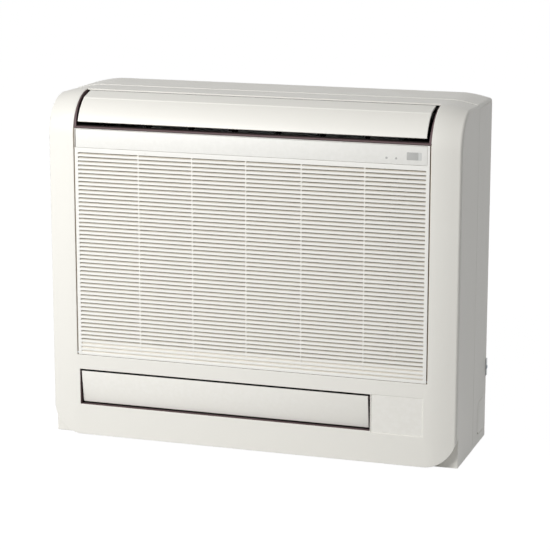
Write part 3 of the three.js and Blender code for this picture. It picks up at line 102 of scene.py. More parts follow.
@dataclass(frozen=True)
class Unit:
    """Main sizes of the unit."""

    side: float = 360.0
    front: float = -112.5
    height: float = 600.0
    opening: float = 311.0
    opening_low: float = 146.4
    opening_back: float = -46.5
    bridge: float = 541.5
    top_radius: float = 70.0
    crown: float = 7.0
    crown_power: float = 1.6
    crown_steps: int = 8
    fillet: float = 6.0
    fillet_turn: int = 15
    seam: float = 16.0
    casing_back: float = 110.7
    outlet_x: Span = (-306.8, 214.3)
    outlet_z: Span = (57.9, 120.8)
    cover_x: Span = (216.0, 304.0)
    cover_z: Span = (55.8, 121.3)

    @property
    def arc(self) -> Span:
        """Depth and height of the centre of the front-top curve."""
        return self.front + self.top_radius, self.height - self.top_radius

    def on_arc(self, angle: float, radius: float) -> Span:
        """Depth and height of a place round the centre of the front-top curve.

        Args:
            angle: Its angle in radians, from the back upwards.
            radius: Its distance from the centre.

        Returns:
            Depth and height.
        """
        return self.arc[0] + radius * math.cos(angle), self.arc[1] + radius * math.sin(angle)

    def drop(self, x: float) -> float:
        """How far the skin falls back: a crown over the pillar and a round fillet at the side.

        Args:
            x: Distance across from the middle plane.

        Returns:
            The fall.
        """
        start = self.side - self.fillet
        over = min(1.0, max(0.0, (abs(x) - self.opening) / (start - self.opening)))
        edge = min(1.0, max(0.0, (abs(x) - start) / self.fillet))
        fall = self.fillet * (1.0 - math.sqrt(1.0 - edge * edge))
        return self.crown * over**self.crown_power + fall

    def stations(self) -> list[float]:
        """Places across the width at which the skin is drawn.

        Returns:
            The places, from left to right.
        """
        start = self.side - self.fillet
        steps = range(self.crown_steps + 1)
        right = [self.opening + (start - self.opening) * n / self.crown_steps for n in steps]
        turns = range(self.fillet_turn, 91, self.fillet_turn)
        right += [start + self.fillet * math.sin(math.radians(angle)) for angle in turns]
        return [-x for x in reversed(right)] + right


UNIT = Unit()


# ---- mesh helpers ----


def vector(x: float, y: float, z: float) -> Vector:
    """A place in metres from millimetres."""
    return Vector((x * MM, y * MM, z * MM))


def mirrored(side: int, first: float, second: float) -> Span:
    """Low and high end of a run that is given for the right side, on the side that is asked for."""
    low, high = sorted((side * first, side * second))
    return low, high


def inside(place: Vector, x: Span, z: Span) -> bool:
    """Whether a place lies inside an upright rectangle."""
    return x[0] < place.x < x[1] and z[0] < place.z < z[1]


def put(name: str, data: bpy.types.ID) -> Object:
    """Puts a new object into the scene.

    Args:
        name: Its name.
        data: Its mesh, lamp or camera.

    Returns:
        The object.
    """
    made = bpy.data.objects.new(name, data)
    bpy.context.scene.collection.objects.link(made)
    return made


class Shape:
    """A mesh in the making: sizes come in millimetres, and tests see places in millimetres."""

    sharp: ClassVar[float] = math.radians(30)

    def __init__(self) -> None:
        """Starts an empty mesh."""
        self.bm = bmesh.new()

    def block(self, x: Span, y: Span, z: Span) -> list[BMVert]:
        """Adds a box.

        Args:
            x: Low and high side across.
            y: Low and high side in depth.
            z: Low and high side in height.

        Returns:
            The corners of the box.
        """
        corners = bmesh.ops.create_cube(self.bm, size=1.0)["verts"]
        size = vector(x[1] - x[0], y[1] - y[0], z[1] - z[0])
        bmesh.ops.scale(self.bm, vec=size, verts=corners)
        middle = vector(sum(x) / 2, sum(y) / 2, sum(z) / 2)
        bmesh.ops.translate(self.bm, vec=middle, verts=corners)
        return corners

    def rod(self, radius: float, axis: Axis, run: Span, at: Span, segments: int) -> list[BMVert]:
        """Adds a straight round bar.

        Args:
            radius: Its radius.
            axis: Direction of its length, X or Y.
            run: Start and end along that direction.
            at: Its place in the two other directions, in the order X, Y, Z.
            segments: Sides of its outline.

        Returns:
            The vertices of the bar.
        """
        quarter = math.pi / 2
        turn = Matrix.Rotation(quarter, 4, "Y")
        if axis is Axis.Y:
            turn = Matrix.Rotation(-quarter, 4, "X")
        place = list(at)
        place.insert(axis.value, sum(run) / 2)
        made = bmesh.ops.create_cone(
            self.bm,
            cap_ends=True,
            cap_tris=False,
            segments=segments,
            radius1=radius * MM,
            radius2=radius * MM,
            depth=(run[1] - run[0]) * MM,
            matrix=Matrix.Translation(vector(*place)) @ turn,
        )
        return made["verts"]

    def outline(self, points: Sequence[Span], axis: Axis, level: float) -> BMFace:
        """Adds one flat face from a few corners.

        Args:
            points: Corners in the two directions across the axis, in the order X, Y, Z.
            axis: Direction that the face looks along.
            level: Its place along that direction.

        Returns:
            The face.
        """
        corners = []
        for point in points:
            place = list(point)
            place.insert(axis.value, level)
            corners.append(self.bm.verts.new(vector(*place)))
        return self.bm.faces.new(corners)

    def even_normals(self) -> None:
        """Lets all faces of the mesh agree on which way is out."""
        bmesh.ops.recalc_face_normals(self.bm, faces=self.bm.faces[:])

    def thicken(self, face: BMFace, axis: Axis, depth: float) -> None:
        """Draws a flat face out into a solid.

        Args:
            face: The face; it stays as one end of the solid.
            axis: Direction to draw along.
            depth: Length of the solid, with its sign.
        """
        made = bmesh.ops.extrude_face_region(self.bm, geom=[face], use_keep_orig=True)
        step = [0.0, 0.0, 0.0]
        step[axis.value] = depth
        moved = [item for item in made["geom"] if isinstance(item, BMVert)]
        bmesh.ops.translate(self.bm, vec=vector(*step), verts=moved)
        self.even_normals()

    def solid(self, thickness: float) -> None:
        """Gives a sheet its thickness, inwards from its faces."""
        bmesh.ops.solidify(self.bm, geom=self.bm.faces[:], thickness=thickness * MM)
        self.even_normals()

    def bevel(self, geom: list[BMVert] | list[BMEdge], kind: str, width: float, steps: int) -> None:
        """Rounds corners or edges.

        Args:
            geom: What is rounded.
            kind: "VERTICES" or "EDGES".
            width: Width of the rounding.
            steps: Steps of the rounding.
        """
        bmesh.ops.bevel(
            self.bm,
            geom=geom,
            offset=width * MM,
            offset_type="OFFSET",
            segments=steps,
            profile=0.5,
            affect=kind,
            clamp_overlap=kind == "EDGES",
            material=-1,
        )

    def soften(self, width: float, steps: int = 2) -> None:
        """Rounds every edge that is sharper than the usual angle."""
        edges = [e for e in self.bm.edges if len(e.link_faces) == 2]
        self.bevel([e for e in edges if e.calc_face_angle(0.0) > self.sharp], "EDGES", width, steps)

    def slice_at(self, axis: Axis, level: float, where: Test = lambda place: True) -> None:
        """Cuts an edge loop into the mesh on a plane.

        Args:
            axis: Normal of the plane.
            level: Its place along that direction.
            where: Says, from a face's centre, whether the face may be cut.
        """
        faces = [f for f in self.bm.faces if where(f.calc_center_median() / MM)]
        edges = {e for f in faces for e in f.edges}
        verts = {v for f in faces for v in f.verts}
        point, normal = [0.0, 0.0, 0.0], [0.0, 0.0, 0.0]
        point[axis.value] = level * MM
        normal[axis.value] = 1.0
        bmesh.ops.bisect_plane(
            self.bm, geom=[*verts, *edges, *faces], dist=1e-6, plane_co=point, plane_no=normal
        )

    def remove_faces(self, where: Test) -> None:
        """Deletes the faces whose centre meets a test."""
        gone = [f for f in self.bm.faces if where(f.calc_center_median() / MM)]
        bmesh.ops.delete(self.bm, geom=gone, context="FACES")

    def open_edges(self, where: Test) -> list[BMEdge]:
        """Open edges whose both ends meet a test."""
        rims = [e for e in self.bm.edges if e.is_boundary]
        return [e for e in rims if all(where(v.co / MM) for v in e.verts)]

    def draw_out(
        self, edges: Iterable[BMEdge], axis: Axis, level: float, move: bool = False
    ) -> list[BMEdge]:
        """Draws open edges out into a strip of faces.

        Args:
            edges: The edges.
            axis: Direction to draw along.
            level: Where the strip ends, or how wide it is where the edges move by a step.
            move: Whether the edges move by a step.

        Returns:
            The edges on the strip's far side.
        """
        made = bmesh.ops.extrude_edge_only(self.bm, edges=list(edges))["geom"]
        far = {item for item in made if isinstance(item, BMVert)}
        step = vector(*(level if way is axis else 0.0 for way in Axis))
        for vert in far:
            if move:
                vert.co += step
            else:
                vert.co[axis.value] = level * MM
        return [item for item in made if isinstance(item, BMEdge) and far.issuperset(item.verts)]

    def lead(self, vert: BMVert, place: Vector) -> BMVert:
        """Draws an edge from a vertex to a place.

        Args:
            vert: The vertex.
            place: The place in metres.

        Returns:
            The new vertex.
        """
        end = bmesh.ops.extrude_vert_indiv(self.bm, verts=[vert])["verts"][0]
        end.co = place
        return end

    def spin(self, geom: Sequence[BMVert | BMEdge], angle: float, steps: int) -> BMVert:
        """Turns vertices and edges about the line through the centre of the front-top curve.

        Args:
            geom: What is turned; it leaves a line or a strip behind.
            angle: Angle in radians.
            steps: Steps of the turn.

        Returns:
            A vertex at the end of the turn.
        """
        turned = bmesh.ops.spin(
            self.bm,
            geom=geom,
            cent=vector(0.0, *UNIT.arc),
            axis=(1.0, 0.0, 0.0),
            angle=angle,
            steps=steps,
            use_duplicate=False,
        )
        return next(item for item in turned["geom_last"] if isinstance(item, BMVert))

    def look_towards(self, x: float, y: float, z: float) -> None:
        """Turns a connected sheet so that its face most square to a direction looks that way.

        Args:
            x: Share of the direction across.
            y: Its share in depth.
            z: Its share in height.
        """
        direction = Vector((x, y, z))
        self.even_normals()
        best = max(self.bm.faces, key=lambda f: abs(f.normal.dot(direction)) * f.calc_area())
        if best.normal.dot(direction) < 0:
            bmesh.ops.reverse_faces(self.bm, faces=self.bm.faces[:])


# ---- shader helpers ----


def linear(colour: Colour) -> tuple[float, float, float, float]:
    """A colour written as it shows on a screen, as the light values that a shader takes.

    Args:
        colour: Red, green and blue from 0 to 255.

    Returns:
        Linear red, green, blue and an alpha of 1.
    """
    shares = [value / 255 for value in colour]
    red, green, blue = (s / 12.92 if s <= 0.04045 else ((s + 0.055) / 1.055) ** 2.4 for s in shares)
    return (red, green, blue, 1.0)


class Wiring:
    """Adds nodes to a node tree and joins them."""

    def __init__(self, tree: NodeTree) -> None:
        """Takes the tree to work on."""
        self.tree = tree

    def feed(self, target: NodeSocket, value: Value) -> None:
        """Joins an output to an input, or writes a constant on the input.

        Args:
            target: The input.
            value: The output or the constant.
        """
        if isinstance(value, NodeSocket):
            self.tree.links.new(value, target)
        else:
            target.default_value = value

    def add(
        self, kind: str, inputs: dict[str | int, Value] | None = None, **settings: object
    ) -> NodeOutputs:
        """Adds a node.

        Args:
            kind: Type name of the node.
            inputs: What its inputs take, by name or number.
            **settings: Properties of the node.

        Returns:
            Its outputs.
        """
        node = self.tree.nodes.new(kind)
        for name, value in settings.items():
            setattr(node, name, value)
        for name, value in (inputs or {}).items():
            self.feed(node.inputs[name], value)
        return node.outputs

    def effect(self, tree: NodeTree, **inputs: Value) -> NodeOutputs:
        """Places a shared effect; an underscore in an input's name stands for a space."""
        named = {name.replace("_", " "): value for name, value in inputs.items()}
        return self.add("ShaderNodeGroup", named, node_tree=tree)

    def maths(self, operation: str, *values: Value) -> NodeSocket:
        """Result of a sum of one or two values."""
        return self.add("ShaderNodeMath", dict(enumerate(values)), operation=operation)[0]

    def times(self, first: Value, second: Value) -> NodeSocket:
        """Product of two values."""
        return self.maths("MULTIPLY", first, second)

    def plus(self, first: Value, second: Value) -> NodeSocket:
        """Sum of two values."""
        return self.maths("ADD", first, second)

    def remap(self, value: NodeSocket, source: Span, target: Span = (0.0, 1.0)) -> NodeSocket:
        """Moves a value from one range to another.

        Args:
            value: The value.
            source: Range that it comes in.
            target: Range that it leaves in.

        Returns:
            The moved value, held inside the range.
        """
        names = ("From Min", "From Max", "To Min", "To Max")
        numbers = dict(zip(names, (*source, *target)))
        return self.add("ShaderNodeMapRange", {"Value": value, **numbers})["Result"]

    def blend(self, share: Value, first: Value, second: Value) -> NodeSocket:
        """Mixes two colours; the share is that of the second."""
        inputs = {0: share, 6: first, 7: second}
        return self.add("ShaderNodeMix", inputs, data_type="RGBA")[2]

    def shade(self, colour: NodeSocket, change: NodeSocket) -> NodeSocket:
        """Makes a colour lighter or darker by a share of itself."""
        inputs = {"Color": colour, "Value": self.plus(change, 1.0)}
        return self.add("ShaderNodeHueSaturation", inputs)["Color"]

    def place(self) -> NodeSocket:
        """Coordinates of the piece's own space."""
        return self.add("ShaderNodeTexCoord")["Object"]

    def part(self, place: NodeSocket, axis: Axis) -> NodeSocket:
        """Share of a vector along an axis."""
        return self.add("ShaderNodeSeparateXYZ", {0: place})[axis.name]

    def noise(self, scale: Value, detail: float, place: NodeSocket | None = None) -> NodeSocket:
        """Cloud pattern from 0 to 1, in the piece's own space unless coordinates are given."""
        inputs = {"Scale": scale, "Detail": detail, "Vector": place or self.place()}
        return self.add("ShaderNodeTexNoise", inputs)["Fac"]

    def fade(self, axis: Axis, span: Span, first: Colour, second: Colour) -> NodeSocket:
        """Colour that changes along an axis of the piece.

        Args:
            axis: The axis.
            span: Where the change starts and where it ends.
            first: Colour before it.
            second: Colour after it.

        Returns:
            The colour.
        """
        along = self.part(self.place(), axis)
        share = self.remap(along, (span[0] * MM, span[1] * MM))
        return self.blend(share, linear(first), linear(second))

    def bump(self, height: NodeSocket, depth: float) -> NodeSocket:
        """Normal that a height pattern of some depth in millimetres turns."""
        inputs = {"Strength": 0.6, "Distance": depth * MM, "Height": height}
        return self.add("ShaderNodeBump", inputs)["Normal"]

    def seen(self) -> NodeSocket:
        """Finds the rays that show the surroundings: straight, in a mirror or through glass.

        Returns:
            1 for such a ray, 0 for others.
        """
        path = self.add("ShaderNodeLightPath")
        indirect = self.maths("MAXIMUM", path["Is Glossy Ray"], path["Is Transmission Ray"])
        return self.maths("MAXIMUM", path["Is Camera Ray"], indirect)


class Effects:
    """Shader effects that several finishes share, each built once as a node group."""

    grey: ClassVar[Value] = (0.8, 0.8, 0.8, 1.0)

    def __init__(self) -> None:
        """Builds the groups."""
        self.grain = self.build_grain()
        # dust that also darkens faces that look up as painted shade
        self.dust = self.build_dust_and_top_shade()
        # sharp edges lightened: scuffs and a painted highlight
        self.edge_wear_and_highlight = self.build_edge_wear_and_highlight()
        self.relief = self.build_relief()

    @staticmethod
    def group(
        name: str, inputs: dict[str, Value], outputs: Sequence[str]
    ) -> tuple[Wiring, NodeOutputs]:
        """Starts a group.

        Args:
            name: Name of the group.
            inputs: Name and usual value of each input, which is a colour or a number.
            outputs: Name of each output; Color is a colour, and the others are numbers.

        Returns:
            The wiring of the group and what it is given.
        """
        tree = bpy.data.node_groups.new(name, "ShaderNodeTree")
        kinds = {True: "NodeSocketColor", False: "NodeSocketFloat"}
        for label, value in inputs.items():
            kind = kinds[isinstance(value, tuple)]
            socket = tree.interface.new_socket(name=label, in_out="INPUT", socket_type=kind)
            socket.default_value = value
        for label in outputs:
            kind = kinds[label == "Color"]
            tree.interface.new_socket(name=label, in_out="OUTPUT", socket_type=kind)
        wiring = Wiring(tree)
        return wiring, wiring.add("NodeGroupInput")

    def build_grain(self) -> NodeTree:
        """Moulded surface: fine spark-eroded texture with slow changes of tone.

        Returns:
            The group.
        """
        wiring, given = self.group(
            "moulded_grain",
            {"Color": self.grey, "Tone": 0.03, "Roughness": 0.45, "Spread": 0.08, "Scale": 900.0},
            ("Color", "Roughness", "Height"),
        )
        fine = wiring.noise(given["Scale"], 2.0)
        slow = wiring.noise(wiring.times(given["Scale"], 0.006), 3.0)
        tone = wiring.times(wiring.plus(slow, -0.5), given["Tone"])
        mixed = wiring.plus(wiring.times(fine, 0.6), wiring.times(slow, 0.4))
        swing = wiring.times(wiring.plus(mixed, -0.5), given["Spread"])
        result = {
            "Color": wiring.shade(given["Color"], tone),
            "Roughness": wiring.plus(given["Roughness"], swing),
            "Height": fine,
        }
        wiring.add("NodeGroupOutput", result)
        return wiring.tree

    def film(
        self, name: str, second: str, colour: Value, amount: float
    ) -> tuple[Wiring, Callable[[NodeSocket, NodeSocket], NodeTree]]:
        """Starts a group that lays a second colour over a first one.

        Args:
            name: Name of the group.
            second: Name of the input for the second colour.
            colour: Its usual value.
            amount: Usual value of the input for the film's strength.

        Returns:
            The wiring of the group and a function that closes it with two masks.
        """
        inputs = {"Color": self.grey, second: colour, "Amount": amount}
        wiring, given = self.group(name, inputs, ("Color", "Mask"))

        def close(first_mask: NodeSocket, second_mask: NodeSocket) -> NodeTree:
            """Lays the second colour where both masks let it.

            Args:
                first_mask: One mask.
                second_mask: The other mask.

            Returns:
                The group.
            """
            mask = wiring.times(wiring.times(first_mask, second_mask), given["Amount"])
            mixed = wiring.blend(mask, given["Color"], given[second])
            wiring.add("NodeGroupOutput", {"Color": mixed, "Mask": mask})
            return wiring.tree

        return wiring, close

    def build_dust_and_top_shade(self) -> NodeTree:
        """Thin film of house dust on faces that look up, which also stands as painted shade
        darkening them.

        Returns:
            The group.
        """
        wiring, close = self.film("settled_dust_and_top_shade", "Dust And Shade Color", linear((176, 170, 158)), 0.1)
        normal = wiring.add("ShaderNodeNewGeometry")["Normal"]
        # painted shade with dust: faces that look up take the darker colour
        up = wiring.remap(wiring.part(normal, Axis.Z), (0.35, 1.0))
        return close(up, wiring.remap(wiring.noise(22.0, 5.0), (0.35, 0.7), (0.35, 1.0)))

    def build_edge_wear_and_highlight(self) -> NodeTree:
        """Sharp edges lightened, part scuffs and part painted highlight, broken up so that they
        don't read as a drawn line.

        Returns:
            The group.
        """
        wiring, close = self.film("worn_and_highlit_edges", "Edge Color", (0.9, 0.9, 0.9, 1.0), 0.3)
        pointed = wiring.add("ShaderNodeNewGeometry")["Pointiness"]
        # painted highlight with scuffs: sharp edges take the lighter colour
        sharp = wiring.remap(pointed, (0.52, 0.6))
        return close(sharp, wiring.remap(wiring.noise(140.0, 4.0), (0.4, 0.65), (0.2, 1.0)))

    def build_relief(self) -> NodeTree:
        """Crystals of a zinc coat and drawn lines of rolled metal.

        Returns:
            The group.
        """
        wiring, given = self.group(
            "metal_relief",
            {"Color": self.grey, "Roughness": 0.35, "Crystals": 0.5, "Scale": 60.0},
            ("Color", "Roughness", "Height"),
        )
        place = wiring.place()
        cells = wiring.add("ShaderNodeTexVoronoi", {"Vector": place, "Scale": given["Scale"]})
        tone = wiring.add("ShaderNodeSeparateColor", {0: cells["Color"]})[0]
        stretch = wiring.add("ShaderNodeMapping", {"Vector": place, "Scale": (1.0, 12.0, 60.0)})
        lines = wiring.noise(30.0, 4.0, stretch["Vector"])
        swing = (-0.5, 0.5)
        drawn = wiring.remap(lines, (0.3, 0.7), swing)
        crystal = wiring.remap(tone, (0.0, 1.0), swing)
        pattern = {0: given["Crystals"], 2: drawn, 3: crystal}
        level = wiring.add("ShaderNodeMix", pattern, data_type="FLOAT")[0]
        result = {
            "Color": wiring.shade(given["Color"], wiring.times(level, 0.22)),
            "Roughness": wiring.plus(wiring.times(level, 0.2), given["Roughness"]),
            "Height": level,
        }
        wiring.add("NodeGroupOutput", result)
        return wiring.tree


# ---- finishes ----


@dataclass(frozen=True)
class Finish:
    """A finish of the unit: its name and base values."""

    name: str
    colour: Colour
    roughness: float

    def look(self, wiring: Wiring, effects: Effects) -> dict[str, Value]:
        """What sets the finish apart.

        Args:
            wiring: Wiring of the material.
            effects: The shared effects.

        Returns:
            What the inputs of its Principled shader take.
        """
        raise NotImplementedError(self.name)

    def grain(
        self, wiring: Wiring, effects: Effects, colour: Value, tone: float, scale: float
    ) -> NodeOutputs:
        """Lays the moulded grain over a colour.

        Args:
            wiring: Wiring of the material.
            effects: The shared effects.
            colour: The colour.
            tone: Strength of the slow changes of tone.
            scale: Fineness of the grain.

        Returns:
            Colour, roughness and height of the grain.
        """
        inputs = {"Color": colour, "Tone": tone, "Roughness": self.roughness, "Scale": scale}
        return wiring.effect(effects.grain, **inputs)

    def make(self, effects: Effects) -> Material:
        """Builds the material.

        Args:
            effects: The shared effects.

        Returns:
            The material.
        """
        material = bpy.data.materials.new(self.name)
        material.use_nodes = True
        material.diffuse_color = linear(self.colour)
        wiring = Wiring(material.node_tree)
        shader = next(n for n in material.node_tree.nodes if n.type == "BSDF_PRINCIPLED")
        for name, value in self.look(wiring, effects).items():
            wiring.feed(shader.inputs[name], value)
        return material


@dataclass(frozen=True)
class MouldedPlastic(Finish):
    """Injection moulded plastic with a fine texture, a little dust with painted shade on its tops,
    and scuffed edges with a painted highlight.
    """

    tone: float = 0.03
    scale: float = 1400.0
    depth: float = 0.03
    # dust: strength of the dust and of the painted shade on faces that look up
    dust: float = 0.06
    # edge: lighter colour of sharp edges, scuffs and a painted highlight
    edge: Colour = (255, 254, 250)
    # share of the scuffs and painted highlight on sharp edges
    edge_wear_and_highlight_amount: float = 0.25

    def look(self, wiring: Wiring, effects: Effects) -> dict[str, Value]:
        """Grain, then scuffed edges with a painted highlight, then dust with painted shade on faces
        that look up.

        Args:
            wiring: Wiring of the material.
            effects: The shared effects.

        Returns:
            What the shader's inputs take.
        """
        grain = self.grain(wiring, effects, linear(self.colour), self.tone, self.scale)
        # scuffed edges with a painted highlight, then dust with painted shade on the tops
        edge = {"Color": grain["Color"], "Edge_Color": linear(self.edge), "Amount": self.edge_wear_and_highlight_amount}
        worn_and_highlit = wiring.effect(effects.edge_wear_and_highlight, **edge)
        dusty = wiring.effect(effects.dust, Color=worn_and_highlit["Color"], Amount=self.dust)
        return {
            "Base Color": dusty["Color"],
            "Roughness": wiring.plus(grain["Roughness"], dusty["Mask"]),
            "Normal": wiring.bump(grain["Height"], self.depth),
        }


@dataclass(frozen=True)
class DepthShadedPlastic(Finish):
    """Plastic whose colour darkens from its front towards its depth: painted shade in the recesses
    of the slots and the duct.
    """

    # lip: colour at the lit front; the finish's own colour deeper in is darker, as painted shade
    lip: Colour = (92, 72, 74)
    lip_y: Span = (-111.0, -92.0)
    tone: float = 0.15
    scale: float = 700.0
    depth: float = 0.04
    # dust: strength of the dust and of the painted shade on faces that look up
    dust: float = 0.05

    def look(self, wiring: Wiring, effects: Effects) -> dict[str, Value]:
        """Painted shade that darkens with the depth, then grain, then a dust film with painted
        shade on faces that look up.

        Args:
            wiring: Wiring of the material.
            effects: The shared effects.

        Returns:
            What the shader's inputs take.
        """
        # painted shade: the colour fades from the front colour to the darker one deeper in the
        # recess
        tint = wiring.fade(Axis.Y, self.lip_y, self.lip, self.colour)
        grain = self.grain(wiring, effects, tint, self.tone, self.scale)
        dusty = wiring.effect(effects.dust, Color=grain["Color"], Amount=self.dust)
        return {
            "Base Color": dusty["Color"],
            "Roughness": grain["Roughness"],
            "Normal": wiring.bump(grain["Height"], self.depth),
        }


@dataclass(frozen=True)
class Metal(Finish):
    """Bare metal with its coat's crystals, drawn lines or pressed fins with painted shade between
    them.
    """

    relief: Relief = Relief.SPANGLE
    scale: float = 60.0
    oxide: Colour = (120, 118, 112)
    between: Colour = (40, 42, 44)
    # between: painted shade in the gaps between the fins
    fins: float = 165.0

    def look(self, wiring: Wiring, effects: Effects) -> dict[str, Value]:
        """Relief with stains, and fins with painted shade between them where the sheet has them.

        Args:
            wiring: Wiring of the material.
            effects: The shared effects.

        Returns:
            What the shader's inputs take.
        """
        metal = wiring.effect(
            effects.relief,
            Color=linear(self.colour),
            Roughness=self.roughness,
            Crystals=1.0 if self.relief is Relief.SPANGLE else 0.0,
            Scale=self.scale,
        )
        stain = wiring.remap(wiring.noise(35.0, 6.0), (0.5, 0.75), (0.0, 0.22))
        tint = wiring.blend(stain, metal["Color"], linear(self.oxide))
        height, depth = metal["Height"], 0.03
        if self.relief is Relief.FINS:
            wave = {"Vector": wiring.place(), "Scale": self.fins}
            height = wiring.add("ShaderNodeTexWave", wave, bands_direction="X")["Fac"]
            depth = 0.25
            # painted shade: the gaps between the fins take the dark colour
            gap = wiring.remap(height, (0.0, 0.6), (0.75, 0.0))
            tint = wiring.blend(gap, tint, linear(self.between))
        return {
            "Metallic": 1.0,
            "Base Color": tint,
            "Roughness": metal["Roughness"],
            "Normal": wiring.bump(height, depth),
        }


@dataclass(frozen=True)
class LensPlastic(Finish):
    """Smooth tinted plastic of the receiver window and the lenses, paler at the window's end."""

    pale: Colour = (222, 223, 220)
    pale_x: Span = (289.5, 290.5)

    def look(self, wiring: Wiring, effects: Effects) -> dict[str, Value]:
        """Tone that changes across, under a clear coat.

        Args:
            wiring: Wiring of the material.
            effects: The shared effects.

        Returns:
            What the shader's inputs take.
        """
        tint = wiring.fade(Axis.X, self.pale_x, self.colour, self.pale)
        grain = self.grain(wiring, effects, tint, 0.06, 1800.0)
        return {
            "Coat Weight": 0.4,
            "Base Color": grain["Color"],
            "Roughness": grain["Roughness"],
            "Normal": wiring.bump(grain["Height"], 0.005),
        }


@dataclass(frozen=True)
class FilterNet(Finish):
    """Woven net of the air filters, with dust caught in its threads."""

    pitch: float = 1.3
    gap: Colour = (70, 65, 58)
    caught: Colour = (150, 145, 134)

    def look(self, wiring: Wiring, effects: Effects) -> dict[str, Value]:
        """Threads that cross, with darker gaps between them.

        Args:
            wiring: Wiring of the material.
            effects: The shared effects; not used.

        Returns:
            What the shader's inputs take.
        """
        turns = 2 * math.pi / (self.pitch * MM)
        runs = [wiring.part(wiring.place(), axis) for axis in (Axis.X, Axis.Z)]
        waves = [wiring.maths("SINE", wiring.times(run, turns)) for run in runs]
        threads = wiring.maths("MAXIMUM", *waves)
        mask = wiring.remap(threads, (0.2, 0.75))
        dusty = wiring.remap(wiring.noise(30.0, 5.0), (0.45, 0.75), (0.0, 0.5))
        thread = wiring.blend(dusty, linear(self.colour), linear(self.caught))
        return {
            "Base Color": wiring.blend(mask, linear(self.gap), thread),
            "Roughness": wiring.remap(mask, (0.0, 1.0), (0.9, self.roughness)),
            "Normal": wiring.bump(threads, 0.15),
        }


@dataclass(frozen=True)
class SolderMask(Finish):
    """Circuit board: lacquer with conductor runs under it."""

    run: Colour = (74, 132, 88)

    def look(self, wiring: Wiring, effects: Effects) -> dict[str, Value]:
        """Runs in the board's upright plane under a mottled lacquer.

        Args:
            wiring: Wiring of the material.
            effects: The shared effects.

        Returns:
            What the shader's inputs take.
        """
        upright = {"Vector": wiring.place(), "Rotation": (math.pi / 2, 0.0, 0.0)}
        turned = wiring.add("ShaderNodeMapping", upright)["Vector"]
        bricks = {"Vector": turned, "Scale": 90.0, "Mortar Size": 0.05}
        line = wiring.add("ShaderNodeTexBrick", bricks)["Fac"]
        tint = wiring.blend(line, linear(self.colour), linear(self.run))
        grain = self.grain(wiring, effects, tint, 0.2, 300.0)
        return {
            "Base Color": grain["Color"],
            "Roughness": grain["Roughness"],
            "Normal": wiring.bump(line, 0.05),
        }


LIP = (92, 72, 74)
# lit front colour of the slats; slat_cream's own colour, deeper in the slots, is painted shade
SLAT_LIT_FRONT = {"lip": (247, 246, 241), "lip_y": (-112.0, -109.6)}


@dataclass
class Palette:
    """Every finish of the unit, built once."""

    effects: Effects = field(default_factory=Effects)
    made: dict[str, Material] = field(default_factory=dict)

    # edge colours and edge amounts set scuffs with a painted highlight; dust sets dust with painted
    # shade on the tops
    finishes: ClassVar[tuple[Finish, ...]] = (
        MouldedPlastic("cream_casing", (242, 240, 233), 0.42, tone=0.012),
        MouldedPlastic("cream_panel", (244, 242, 235), 0.4, tone=0.01, dust=0.04),
        # painted shade: the slats darken from their front towards the back of the slots
        DepthShadedPlastic("slat_cream", (230, 222, 208), 0.45, tone=0.01, **SLAT_LIT_FRONT),
        MouldedPlastic("band_resin", (242, 241, 236), 0.42, tone=0.0, dust=0.02),
        MouldedPlastic("liner_lip", LIP, 0.6, tone=0.1, edge=(110, 88, 90)),
        # painted shade: brown of the grille's gaps and of the knockout covers' pits
        MouldedPlastic("painted_shade_brown", (132, 112, 90), 0.9, tone=0.2, scale=500.0, edge_wear_and_highlight_amount=0.0),
        MouldedPlastic("inner_resin", (112, 105, 95), 0.6, tone=0.06, dust=0.2, edge_wear_and_highlight_amount=0.1),
        # painted shade: the duct's colour runs from its lit maroon lip to near black deeper inside
        DepthShadedPlastic("duct_liner", (18, 14, 14), 0.6, lip=LIP),
        LensPlastic("lens_plastic", (188, 188, 185), 0.22),
        MouldedPlastic("grey_resin", (120, 124, 126), 0.5, dust=0.2, edge=(160, 162, 162)),
        MouldedPlastic("white_resin", (214, 216, 214), 0.5, dust=0.15),
        Metal("galvanised", (184, 187, 188), 0.4, scale=130.0),
        Metal("fin_foil", (196, 200, 204), 0.4, Relief.FINS),
        Metal("copper", (196, 122, 78), 0.32, Relief.DRAWN, oxide=(104, 66, 44)),
        Metal("brass", (204, 168, 88), 0.3, Relief.DRAWN, oxide=(120, 96, 50)),
        Metal("screw_zinc", (168, 176, 184), 0.3, Relief.DRAWN),
        FilterNet("filter_weave", (150, 141, 126), 0.75),
        SolderMask("board_lacquer", (36, 84, 52), 0.4),
    )

    def get(self, name: str) -> Material:
        """Material of a finish, built when it is first asked for.

        Args:
            name: Name of the finish.

        Returns:
            The material.
        """
        if name not in self.made:
            finish = next(f for f in self.finishes if f.name == name)
            self.made[name] = finish.make(self.effects)
        return self.made[name]


# ---- base of the sub-assemblies ----


